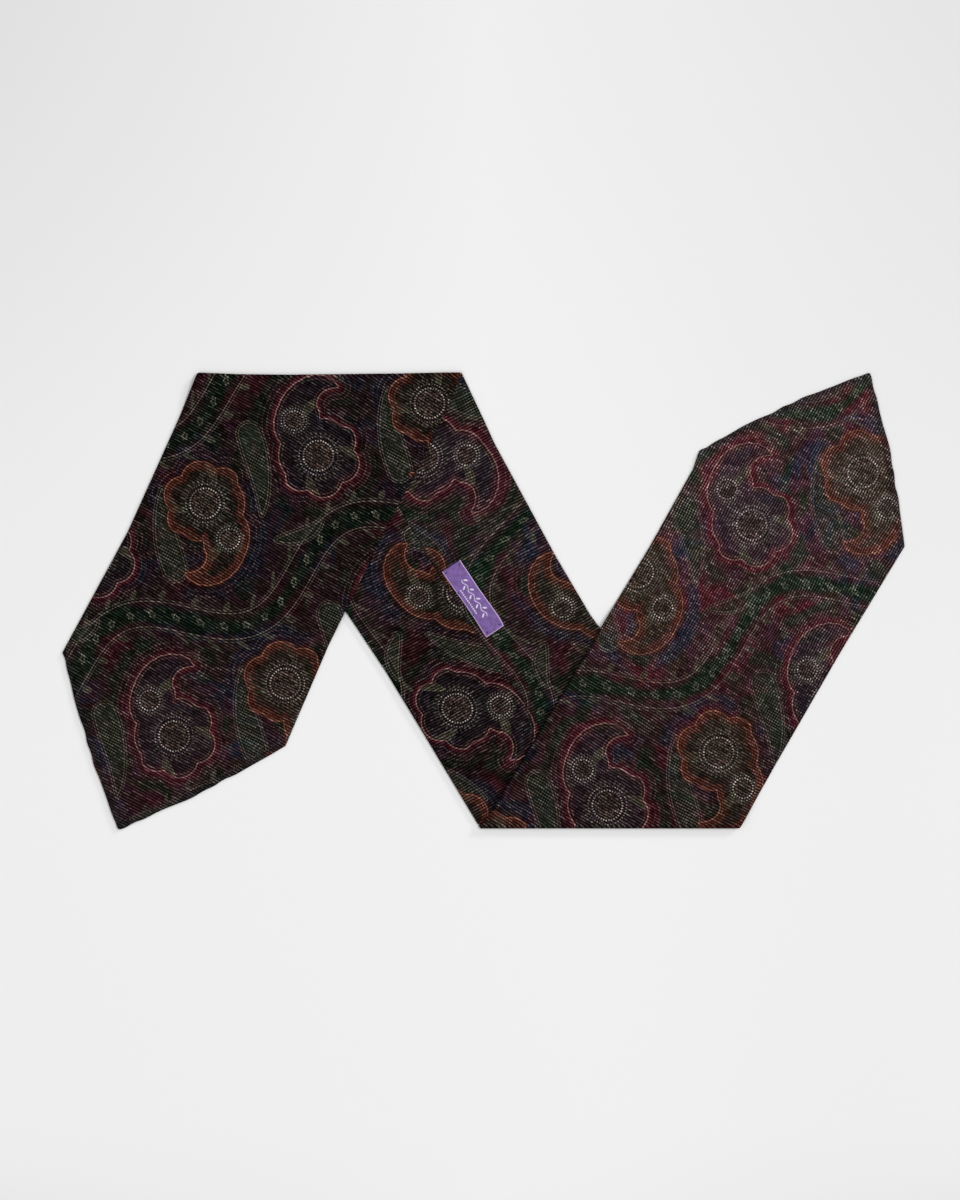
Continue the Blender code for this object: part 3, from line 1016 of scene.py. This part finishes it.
# %% [markdown]
# ## Stitches
# Hand stitches are short loops of thread that sink into the cloth. Each one here is a small ball drawn out
# into a grain along its thread: the slip stitches that close the seam, those along the hems, and the tacks
# of the label. The stitches of a kind on one piece are one mesh. Their places come from the same lines as
# the pieces they hold.

# %% Stitches
GRAIN_AROUND = 8
GRAIN_RINGS = 5
SLIP_PITCH = 5.5
SLIP_LENGTH = 1.5
SLIP_THICK = 0.3
SLIP_DEPTH = 0.28  # below the cloth's face, in the groove
SLIP_CLEAR = 8.0  # from where a fold-over starts
SLIP_END = 418.0
TACK_THICK = 0.6


def add_stitch(bm, spot, along, length, thick):
    """One stitch centred on spot, with its thread running along a level direction."""
    made = bmesh.ops.create_uvsphere(bm, u_segments=GRAIN_AROUND, v_segments=GRAIN_RINGS, radius=0.5)
    turn = math.atan2(along[1], along[0])
    grain = Matrix.Diagonal((length, thick, thick, 1))
    place = Matrix.Translation(spot) @ Matrix.Rotation(turn, 4, "Z") @ grain
    bmesh.ops.transform(bm, matrix=place, verts=made["verts"])


def finish_stitches(name, bm, lay_down):
    """Turns stitches of the opened-out strip into a piece, laid down as the cloth is."""
    piece = finished(name, bm)
    set_down(piece, lay_down(vertex_array(piece.data)))
    return piece


def seam_stitches(name, start, finish, lay_down):
    """Slip stitches along the seam, which show as grains at the bottom of its groove."""
    bm = bmesh.new()
    slant = (ACROSS[0] + 0.35 * ALONG[0], ACROSS[1] + 0.35 * ALONG[1])
    count = round(abs(finish - start) / SLIP_PITCH)
    for i in range(count + 1):
        up = start + (finish - start) * (i + 0.25 * math.sin(i * 2.4)) / count
        slip = 0.25 * math.sin(i * 1.7)
        spot = (float(seam_x(up)) + slip, up, TUBE - SLIP_DEPTH)
        add_stitch(bm, spot, slant, SLIP_LENGTH, SLIP_THICK)
    return finish_stitches(name, bm, lay_down)


def hem_stitches(name, end, lay_down):
    """Small slanted stitches just inside the hem, on the face that shows."""
    outer, inner, _ = hem_lines(end, STITCH_PITCH)
    run = np.gradient(outer, axis=0)
    bm = bmesh.new()
    for i in range(3, len(outer) - 3):
        inward = (inner[i] - outer[i]) / np.linalg.norm(inner[i] - outer[i])
        spot = inner[i] + inward * (0.45 + 0.15 * math.sin(i * 2.1))
        along = run[i] / np.linalg.norm(run[i]) + inward * 0.5 * math.sin(i * 1.3)
        add_stitch(bm, (*spot, 0.02), along, 1.1 + 0.2 * math.sin(i * 3.1), 0.24)
    return finish_stitches(name, bm, lay_down)


# x to the right and y up from the label's middle, and how the thread runs there, in degrees
Tack = namedtuple("Tack", "x y turn")
TACKS = (
    Tack(-5.8, 25.3, 25.0),
    Tack(5.2, 25.0, 70.0),
    Tack(-6.9, 9.0, 80.0),
    Tack(-6.9, -9.6, 100.0),
    Tack(-5.2, -25.3, 40.0),
    Tack(5.0, -25.2, 120.0),
)


def tack_stitches():
    """Two loops of thread side by side at each tack."""
    bm = bmesh.new()
    for x, y, turn in TACKS:
        spot = label_middle + label_right * (x + float(tape_wander(x, y))) - label_along * y
        c, s = math.cos(math.radians(turn)), math.sin(math.radians(turn))
        along = label_right * c - label_along * s
        height = float(tape_height(x, y) + turn_under(y)) + TAPE_THICK + 0.1
        add_stitch(bm, (spot.x, spot.y, height), along, 1.5, TACK_THICK)
        add_stitch(bm, (spot.x + 0.35, spot.y + 0.25, height), along, 1.1, TACK_THICK - 0.1)
    return finish_stitches("label_tacks", bm, lay_flat)


stitches = [
    seam_stitches("neck_seam_stitches", NECK_END - 2, 2 - NECK_END, lay_flat),
    seam_stitches("wide_seam_stitches", TURN_START + SLIP_CLEAR, SLIP_END, lay_wide),
    seam_stitches("narrow_seam_stitches", -TURN_START - SLIP_CLEAR, -SLIP_END, lay_narrow),
    hem_stitches("wide_hem_stitches", WIDE_END, lay_wide),
    hem_stitches("narrow_hem_stitches", NARROW_END, lay_narrow),
]
tacks = tack_stitches()

# %% [markdown]
# ## Shader sums written as Python
# A material's nodes are easier to read as sums. This class wraps one output socket: arithmetic between
# wraps or numbers adds Math nodes, and `add` makes any other node from its type, settings and sockets.

# %% Wires
class Wire:
    """One output socket in a material's node tree."""

    def __init__(self, tree, socket=None):
        self.tree = tree
        self.socket = socket

    def add(self, kind, settings=None, sockets=None, output=0):
        """A new node, given its settings, then the values or links of its sockets, by name or number."""
        node = self.tree.nodes.new("ShaderNode" + kind)
        for name, value in (settings or {}).items():
            setattr(node, name, value)
        for name, value in (sockets or {}).items():
            if isinstance(value, Wire):
                self.tree.links.new(value.socket, node.inputs[name])
            else:
                node.inputs[name].default_value = value
        return Wire(self.tree, node.outputs[output])

    def math(self, operation, *others):
        return self.add("Math", {"operation": operation}, dict(enumerate((self, *others))))

    def __add__(self, other):
        return self.math("ADD", other)

    def __sub__(self, other):
        return self.math("SUBTRACT", other)

    def __mul__(self, other):
        return self.math("MULTIPLY", other)

    def __truediv__(self, other):
        return self.math("DIVIDE", other)

    def __rsub__(self, other):
        return self.add("Math", {"operation": "SUBTRACT"}, {0: other, 1: self})

    def __abs__(self):
        return self.math("ABSOLUTE")

    def ramp(self, low, high, start=0.0, end=1.0):
        """A smooth step from start at low to end at high."""
        sockets = {"Value": self, "From Min": low, "From Max": high, "To Min": start, "To Max": end}
        return self.add("MapRange", {"interpolation_type": "SMOOTHSTEP"}, sockets)

    def fade(self, low, high):
        return self.ramp(low, high, 1.0, 0.0)

    def line(self, level, width, soft):
        """1 along a line of a width at a level of this distance, with soft edges."""
        return abs(self - level).fade(width / 2, width / 2 + soft)

    def cell(self, pitch):
        """How far this length is from the middle of its cell, where cells follow each other at a pitch."""
        return (self / pitch).math("FRACT") * pitch - pitch / 2

    def parts(self):
        """The three parts of a vector."""
        node = self.tree.nodes.new("ShaderNodeSeparateXYZ")
        self.tree.links.new(self.socket, node.inputs[0])
        return [Wire(self.tree, socket) for socket in node.outputs]


def attribute(tree, name, output="Vector"):
    return Wire(tree).add("Attribute", {"attribute_name": name}, output=output)


def blend(tree, factor, under, over):
    """A mix of two colours. Each is a wire or three numbers. The Mix node's colour sockets share names with
    its others, so they are given by number."""
    under, over = (c if isinstance(c, Wire) else (*c, 1.0) for c in (under, over))
    settings = {"data_type": "RGBA", "blend_type": "MIX"}
    return Wire(tree).add("Mix", settings, {0: factor, 6: under, 7: over}, output=2)


def new_material(name):
    """A material and its tree, with a Principled shader ready to be wired."""
    material = bpy.data.materials.new(name)
    material.use_nodes = True
    shader = material.node_tree.nodes["Principled BSDF"]
    return material, material.node_tree, shader


def wire_in(tree, shader, **sockets):
    """Gives a shader's sockets their wires, or values that hold all over."""
    for name, value in sockets.items():
        socket = shader.inputs[name.replace("_", " ")]
        if isinstance(value, Wire):
            tree.links.new(value.socket, socket)
        else:
            socket.default_value = value


# %% [markdown]
# ## Printed silk twill
# Three things make this finish. The print is drawn by the stored distances: lines at levels of them, beads
# where a length along a line or an angle round a ring is near the middle of its cell. The twill is a rib
# every two millimetres across the strip, and each rib is a row of short floats of silk, each row starting
# where it likes. The light on them is painted into the colour: the floats' height multiplies the dye, so the
# grooves get painted shade and the floats a painted highlight, while a line of discharge paste bleaches the
# grooves too and stays whole. Toward the narrow end the floats line up from rib to rib. Pale painted glints
# sit on some floats. Only the floats have a gloss, and it is low: this is a soft, washed silk.

# %% Print and twill
CREAM = (0.330, 0.265, 0.205)
ROSE = (0.345, 0.195, 0.172)
FLAME = (0.325, 0.132, 0.086)
EMBER = (0.105, 0.025, 0.014)
BEAD = (0.480, 0.420, 0.370)
CRIMSON = (0.105, 0.017, 0.025)
OLIVE = (0.068, 0.058, 0.034)
LEAF = (0.020, 0.036, 0.018)
SAGE = (0.185, 0.180, 0.130)
# The tint of the painted glints on the floats
GLINT_TINT = (0.452, 0.410, 0.395)
RIB_PITCH = 1.9
FLOAT_PITCH = 1.8
LATTICE = 1.3  # from dot to dot on a bud
BEAD_SHARE = 0.42  # how much of its pitch a bead fills


class Print:
    """The printed colour so far, and how much of it is a drawn line, which keeps its tone in the weave."""

    def __init__(self, colour, fade):
        self.tree = colour.tree
        self.colour = colour
        self.fade = fade
        self.ink = None

    def wash(self, mask, dye):
        self.colour = blend(self.tree, mask, self.colour, dye)

    def draw(self, mask, dye):
        # Lines fade in the painted shade of a rolled hem, where the print is paler too
        mask = mask * self.fade
        self.wash(mask, dye)
        self.ink = mask if self.ink is None else self.ink.math("MAXIMUM", mask)


def wave(turns):
    """A cosine wave from 0 to 1, 1 at each whole number of turns."""
    return (turns * (2 * math.pi)).math("COSINE") * 0.5 + 0.5


def chances(column, row):
    """A random number for each cell of a grid of whole numbers."""
    cell = column.add("CombineXYZ", sockets={"X": column, "Y": row.math("FLOOR")})
    return column.add("TexWhiteNoise", {"noise_dimensions": "2D"}, {"Vector": cell})


def twill(along, across, glint_amount):
    """The floats' height from 0 in the grooves to 1, and a random number for each float."""
    rib = along / RIB_PITCH
    crown = wave(rib)
    number = (rib + 0.5).math("FLOOR")
    turned = along.ramp(-380.0, -240.0, 0.85, 0.0)
    start = along.add("TexWhiteNoise", {"noise_dimensions": "1D"}, {"W": number}) * (1 - turned) * 0.6
    row = across / FLOAT_PITCH + start
    top = wave(row)
    chance = chances(number, row + 0.5) * 0.4 + chances(number + 0.5, row * 0.4) * 0.6
    broken = glint_amount.ramp(0.4, 2.4, 0.12, 0.42)
    ribs = crown * (top * broken + 1 - broken)
    columns = top * (crown * 0.4 + 0.75)
    return ribs * (1 - turned) + columns * turned, chance


def beads(angle, radius, pitch):
    """Beads round a ring, at about a pitch."""
    count = (radius * (2 * math.pi / pitch)).math("ROUND")
    edge = math.cos(math.pi * BEAD_SHARE)
    return (angle * count).math("COSINE").ramp(edge - 0.3, edge + 0.3)


def stripe_lines(cloth, boteh, across, along):
    """Stems beside the wavy stripe with pairs of leaves on them, and small flowers down its middle."""
    clear = boteh.ramp(2.0, 3.0)
    away = abs(across)
    cloth.draw(away.line(9.0, 0.15, 0.35) * clear * 0.6, CREAM)
    cloth.draw(away.line(10.9, 0.15, 0.35) * clear * 0.4, SAGE)
    out, place = away - 13.5, along.cell(21.0)
    leaf_u, leaf_v = (out + place) * 0.7, (out - place) * 0.7
    leaf = (leaf_u * leaf_u * 0.06 + leaf_v * leaf_v * 0.5).math("SQRT")
    vein = leaf_v.line(0.0, 0.1, 0.3) * leaf.fade(0.7, 0.9)
    cloth.wash(leaf.fade(0.7, 1.0) * clear * 0.6, OLIVE)
    cloth.draw(leaf.line(0.95, 0.1, 0.2) * clear * 0.4, SAGE)
    cloth.draw(vein * clear * 0.4, SAGE)
    spot = along.cell(16.0)
    eye = (spot * spot + across * across).math("SQRT")
    petals = across.math("ARCTAN2", spot) * 5.0
    cloth.draw((eye - petals.math("COSINE") * 0.6).line(1.9, 0.45, 0.4) * clear * 0.85, SAGE)


def leaf_lines(cloth, boteh, filler, spray, leaf_u, leaf_v):
    """Dotted green buds between the botehs, and olive leaves inside them."""
    clear = boteh.ramp(0.8, 1.6)
    lattice = (leaf_u * (math.pi / LATTICE)).math("SINE") * (leaf_v * (math.pi / LATTICE)).math("SINE")
    cloth.wash(filler.fade(-1.5, 0.6) * clear * 0.5, LEAF)
    cloth.draw(lattice.ramp(0.4, 0.8) * filler.fade(-2.2, -1.4) * clear * 0.6, SAGE)
    cloth.draw(filler.line(0.0, 0.25, 0.35) * clear * 0.65, SAGE)
    cloth.draw(filler.line(1.7, 0.1, 0.35) * clear * 0.4, CREAM)
    inside = boteh.fade(-1.4, -0.8)
    cloth.wash(spray.fade(-1.2, 0.2) * inside * 0.8, OLIVE)
    cloth.draw(spray.line(-0.2, 0.2, 0.35) * inside * 0.55, SAGE)
    cloth.draw(spray.line(-2.0, 0.1, 0.3) * inside * 0.4, SAGE)


def boteh_lines(cloth, boteh, run, orange):
    """The outlines of the botehs, the flames along them, and dotted lines that echo them."""
    dots = abs(run.cell(1.7)).fade(0.3, 0.6)
    echo = abs(boteh.cell(3.3)).fade(0.15, 0.5) * dots
    within = boteh.fade(-7.5, -6.5)
    around = boteh.ramp(3.0, 4.0) * boteh.fade(8.0, 14.0)
    cloth.draw(echo * within * 0.4, OLIVE)
    cloth.draw(echo * around * 0.35, ROSE)
    burgundy = 1 - orange
    flames = boteh + abs(run.cell(5.3)) * 1.3
    cloth.wash(flames.ramp(-5.0, -3.2) * boteh.fade(0.2, 1.2) * orange * 0.5, EMBER)
    cloth.draw(boteh.line(-1.9, 0.1, 0.35) * dots * orange * 0.5, FLAME)
    cloth.draw(boteh.line(-4.2, 0.1, 0.4) * orange * 0.3, FLAME)
    cloth.wash(boteh.line(1.3, 0.8, 1.2) * burgundy * 0.6, CRIMSON)
    cloth.draw(boteh.line(-2.4, 0.1, 0.4) * dots * burgundy * 0.6, ROSE)
    cloth.draw(boteh.line(0.0, 0.35, 0.35) * 0.95, blend(cloth.tree, orange, ROSE, FLAME))


def ring_lines(cloth, boteh, x, y, radius):
    """Two beaded rings with petals inside them and fine rays outside."""
    distance = (x * x + y * y).math("SQRT")
    angle = y.math("ARCTAN2", x)
    inside = boteh.fade(-2.4, -1.8)
    share = distance / radius
    rays = (angle * 30.0).math("COSINE").ramp(0.2, 0.9) * share.line(1.52, 0.2, 0.1)
    cloth.draw(rays * inside * 0.4, SAGE)
    cloth.wash(share.fade(0.85, 1.0) * inside * 0.6, BROWN)
    cloth.draw((distance - radius).line(0.0, 0.8, 0.3) * beads(angle, radius, 1.9) * inside, BEAD)
    hatch = abs(distance.cell(1.9)).fade(0.15, 0.5) * share.fade(0.8, 0.9)
    cloth.draw(hatch * (angle * 11.0).math("COSINE").ramp(-0.2, 0.6) * inside * 0.35, CREAM)
    petals = (angle * 7.0).math("COSINE") * -0.12 + share
    cloth.draw(petals.line(0.66, 0.02, 0.06) * inside * 0.35, ROSE)
    outer = (distance - radius * 1.28).line(0.0, 0.5, 0.3)
    cloth.draw(outer * beads(angle, radius, 1.5) * inside * 0.6, BEAD)


def tinted(colour, factor):
    """A colour, as a wire or three numbers, made as much lighter or darker as a wire says."""
    return factor.add("VectorMath", {"operation": "SCALE"}, {0: colour, "Scale": factor})


def silk(name, depth):
    """Printed silk twill. Its second argument scales its colour down: the dyes' depth, and for a rolled hem
    some painted shade as well.
    """
    material, tree, shader = new_material(name)
    boteh, filler, spray = attribute(tree, "forms").parts()
    run, leaf_u, leaf_v = attribute(tree, "dress").parts()
    across, along, kind = attribute(tree, "stripe").parts()
    ring_x, ring_y, ring_radius = attribute(tree, "ring").parts()
    thread_along, thread_across, glint_amount = attribute(tree, "threads").parts()
    orange = 1 - kind
    cloth = Print(attribute(tree, "wash", "Color"), attribute(tree, "wash", "Alpha"))
    stripe_lines(cloth, boteh, across, along)
    leaf_lines(cloth, boteh, filler, spray, leaf_u, leaf_v)
    boteh_lines(cloth, boteh, run, orange)
    ring_lines(cloth, boteh, ring_x, ring_y, ring_radius)
    height, chance = twill(thread_along, thread_across, glint_amount)
    # Painted light of the twill: the floats' height multiplies the dye, with painted shade in the grooves and
    # painted highlight on the floats; a drawn line keeps more of its tone
    weave = height * (chance * 1.2 + 0.4) * 1.9 + 0.02
    weave = weave.math("MAXIMUM", cloth.ink * (height * 0.5 + 0.4))
    # Painted glints on some floats and painted highlights on the rib crowns, more of them where the painted
    # sheen is brighter
    crown_highlight = height * height * glint_amount.ramp(1.1, 3.2, 0.0, 0.11)
    glints = (chance * height).math("POWER", 5.0) * height * glint_amount * glint_amount.ramp(1.2, 3.0, 0.85, 0.6) + crown_highlight
    layers = {0: tinted(cloth.colour, weave * depth), 1: tinted(GLINT_TINT, glints * depth)}
    both = glints.add("VectorMath", {"operation": "ADD"}, layers)
    bump = height.add("Bump", None, {"Strength": 0.5, "Distance": 0.00012, "Height": height})
    gloss = height * chance * 0.2
    wire_in(tree, shader, Base_Color=both, Coat_Weight=gloss, Normal=bump)
    wire_in(tree, shader, Roughness=0.7, Specular_IOR_Level=0.0, Coat_Roughness=0.45)
    return material


# %% [markdown]
# ## Label tape and thread
# The tape is plain weave: fine threads across it, and a pale woven edge. Its sprig is a wavy stem with a
# leaf in each bend, beside a row of dots. The sewing threads are dark silk, a little uneven along their
# length.

# %% Tape and thread
LILAC = (0.124, 0.045, 0.303)
DEEP_LILAC = (0.076, 0.027, 0.173)
PALE_LILAC = (0.640, 0.480, 0.700)
SILVER = (0.850, 0.760, 0.920)
PICK = 0.42  # a thread across the tape
END = 0.5  # a thread along it
BEND_PITCH = 3.9  # from leaf to leaf of the sprig
SPRIG_REACH = 15.6
SPRIG_X = 0.9
DOTS_X = -4.3
DOTS_REACH = 10.2


def tape_material():
    material, tree, shader = new_material("label_tape_weave")
    x, y, _ = attribute(tree, "tape").parts()
    picks = (y * (2 * math.pi / PICK)).math("SINE")
    ends = (x * (2 * math.pi / END)).math("SINE")
    weave = picks * ends * 0.5 + 0.5
    settings = {"Vector": attribute(tree, "tape"), "Scale": 0.28, "Detail": 3.0}
    patch = x.add("TexNoise", {"noise_dimensions": "3D"}, settings)
    selvedge = abs(x).line(LABEL_WIDTH / 2 - 0.3, 0.45, 0.2)
    foot = y.line(-LABEL_LENGTH / 2 + 0.3, 0.4, 0.25)
    reach = abs(y).fade(SPRIG_REACH - 0.2, SPRIG_REACH)
    bend = (y * (math.pi / BEND_PITCH)).math("SINE")
    stem = (x - bend * 0.8 - SPRIG_X).line(0.0, 0.26, 0.25)
    out, place = (x - SPRIG_X) * bend.math("SIGN") + 2.0, y.cell(BEND_PITCH)
    leaf_u, leaf_v = (out * 0.8 + place * 0.6) / 1.6, (place * 0.8 - out * 0.6) / 0.6
    leaf = (leaf_u * leaf_u + leaf_v * leaf_v).math("SQRT").fade(0.8, 1.2)
    dots = (x - DOTS_X).line(0.0, 0.7, 0.3) * y.cell(1.7).line(0.0, 0.7, 0.3)
    dots = dots * abs(y).fade(DOTS_REACH - 0.2, DOTS_REACH)
    sprig = (stem.math("MAXIMUM", leaf) * reach).math("MAXIMUM", dots)
    colour = blend(tree, patch.ramp(0.35, 0.65), DEEP_LILAC, LILAC)
    colour = blend(tree, weave * 0.18 + patch * 0.08, colour, PALE_LILAC)
    colour = blend(tree, selvedge.math("MAXIMUM", foot) * 0.75, colour, PALE_LILAC)
    colour = blend(tree, sprig * (weave * 0.35 + 0.6), colour, SILVER)
    bump = x.add("Bump", None, {"Strength": 0.4, "Distance": 0.00008, "Height": weave + sprig})
    wire_in(tree, shader, Base_Color=colour, Roughness=weave * -0.1 + 0.6, Normal=bump)
    wire_in(tree, shader, Specular_IOR_Level=0.25)
    return material


def thread_material(name, dark, light):
    material, tree, shader = new_material(name)
    place = Wire(tree).add("TexCoord", output="Object")
    strand = Wire(tree).add("TexNoise", None, {"Vector": place, "Scale": 2600.0, "Detail": 1.0})
    bump = Wire(tree).add("Bump", None, {"Strength": 0.5, "Distance": 0.00005, "Height": strand})
    colour = blend(tree, strand, dark, light)
    wire_in(tree, shader, Base_Color=colour, Roughness=strand * 0.2 + 0.5, Normal=bump)
    wire_in(tree, shader, Specular_IOR_Level=0.3)
    return material


blade_silk = silk("silk_print", 0.58)
# The hem's silk is a darker copy: painted shade of the rolled hem
hem_silk = silk("silk_hem_shaded", 0.55)
tape_weave = tape_material()
dark_thread = thread_material("dark_thread", (0.006, 0.005, 0.008), (0.030, 0.024, 0.030))
hem_thread = thread_material("hem_thread", (0.030, 0.024, 0.020), (0.110, 0.090, 0.070))
tack_thread = thread_material("tack_thread", (0.022, 0.010, 0.070), (0.060, 0.030, 0.140))

for material, pieces in (
    (blade_silk, (neck, wide_blade, narrow_blade)),
    (hem_silk, (wide_hem, narrow_hem)),
    (tape_weave, (label,)),
    (dark_thread, stitches[:3]),
    (hem_thread, stitches[3:]),
    (tack_thread, (tacks,)),
):
    for piece in pieces:
        piece.data.materials.append(material)
print("Silk has", len(blade_silk.node_tree.nodes), "nodes")

# %% [markdown]
# ## What stands for what
# Each cloth piece takes the place of the frame's plain solid, which is hidden, and hangs from the same body.
# Each sheet is listed with the size that it was cut to, and the cloth it uses is printed. A stretch of the
# tube is one panel as wide as the tube measures all round.

# %% Pieces in the frame's place
for piece, node, slot in (
    (neck, "neck", "printed_silk"),
    (wide_blade, "wide_blade", "printed_silk"),
    (narrow_blade, "narrow_blade", "printed_silk"),
    (wide_hem, "wide_hem", "hem_silk"),
    (narrow_hem, "narrow_hem", "hem_silk"),
    (label, "label", "woven_tape"),
):
    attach(piece, BODY)
    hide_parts(node)
for piece in stitches:
    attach(piece, BODY)
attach(tacks, BODY)


def cloth_area(piece):
    """Area of one side of a piece's cloth, in square metres. Its mesh has both sides."""
    return sum(face.area for face in piece.data.polygons) / 2


Cut = namedtuple("Cut", "piece width length held rests_on with_pieces")
CUTS = (
    Cut(neck, 0.300, 0.400, "folded", [], [stitches[0]]),
    Cut(wide_blade, 0.335, 0.370, "folded", [neck], [wide_hem, stitches[1], stitches[3]]),
    Cut(narrow_blade, 0.315, 0.370, "folded", [neck], [narrow_hem, stitches[2], stitches[4]]),
    Cut(label, 0.0154, 0.0555, "laid", [neck], [tacks]),
)
for cut in CUTS:
    area = cloth_area(cut.piece)
    min(area, cut.width * cut.length)
    print(cut.piece.name, "uses", round(area, 4), "square metres of cloth")

# %% [markdown]
# ## Floor, light and camera
# The scarf lies on a pale floor whose paint darkens a little toward its corners, its top and its right:
# painted shade of the light falling off. It is lit by broad, soft light and seen straight from above with
# a long lens, so that it keeps its true outline. Colours are shown as they are, without a film look.

# %% Floor
FLOOR_SIZE = 6.0
FLOOR_WHITE = (0.855, 0.855, 0.855)
# What the floor's painted shade darkens toward
SHADE_BLACK = (0.0, 0.0, 0.0)
floor_bm = bmesh.new()
bmesh.ops.create_grid(floor_bm, x_segments=1, y_segments=1, size=FLOOR_SIZE / 2)
floor = finished("floor", floor_bm)
floor_paint, floor_tree, floor_shader = new_material("floor_paint")
floor_x, floor_y, _ = Wire(floor_tree).add("TexCoord", output="Object").parts()
# Painted shade on the floor: darker toward its corners, its top and its right, where the light falls off
far_corners = floor_y.ramp(-0.15, 0.50, 0.0, 0.345)
near_corners = floor_y.ramp(-0.36, -0.46, 0.0, 0.20)
floor_shade = abs(floor_x) * (far_corners + near_corners) + floor_y.ramp(0.1, 0.5, 0.0, 0.025)
floor_shade = floor_shade + floor_x.ramp(0.05, 0.30, 0.0, 0.03) * floor_y.fade(0.1, 0.4)
floor_colour = blend(floor_tree, floor_shade, FLOOR_WHITE, SHADE_BLACK)
wire_in(floor_tree, floor_shader, Base_Color=floor_colour, Roughness=0.8, Specular_IOR_Level=0.1)
floor.data.materials.append(floor_paint)
floor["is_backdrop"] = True

# %% Light
world = bpy.data.worlds.new("studio")
scene.world = world
world.use_nodes = True
background = world.node_tree.nodes["Background"]
background.inputs["Color"].default_value = (1.0, 1.0, 1.0, 1.0)
overhead = Wire(world.node_tree).add("TexCoord", output="Generated").parts()[2].ramp(0.2, 0.8, 0.05, 0.60)
world.node_tree.links.new(overhead.socket, background.inputs["Strength"])


def soft_light(name, place, size, power):
    """Adds a square area light aimed at the origin."""
    light = bpy.data.lights.new(name, "AREA")
    light.size = size
    light.energy = power
    lamp = bpy.data.objects.new(name, light)
    lamp.location = place
    lamp.rotation_euler = (-Vector(place)).to_track_quat("-Z", "Y").to_euler()
    scene.collection.objects.link(lamp)


soft_light("key", (3.4, 1.2, 6.4), 2.2, 205.0)
soft_light("side", (6.4, 5.2, 3.2), 1.2, 225.0)
soft_light("fill", (-3.0, -2.4, 7.0), 3.0, 110.0)

# %% Camera
VIEW_HEIGHT = 0.840
CAMERA_DISTANCE = 3.0
SENSOR = 36.0
CENTRE = Vector((-0.0025, 0.0008, 0.0))
optics = bpy.data.cameras.new("overhead")
optics.sensor_width = SENSOR
optics.lens = SENSOR * CAMERA_DISTANCE / VIEW_HEIGHT
optics.clip_end = 20.0
camera = bpy.data.objects.new("overhead", optics)
camera.location = CENTRE + Vector((0.0, 0.0, CAMERA_DISTANCE))
scene.collection.objects.link(camera)
scene.camera = camera
scene.view_settings.view_transform = "Standard"
print("The lens is", round(optics.lens), "mm long, from", CAMERA_DISTANCE, "m")

# %% [markdown]
# ## Last measures
# The visual model has to keep the frame's size. Both boxes are measured, and how far they differ is printed.

# %% Sizes
visual_box = [list(corner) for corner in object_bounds()]
differences = (np.array(visual_box) - np.array(cad_box)) / MM
print("The boxes differ by", differences.round(2).tolist(), "mm")
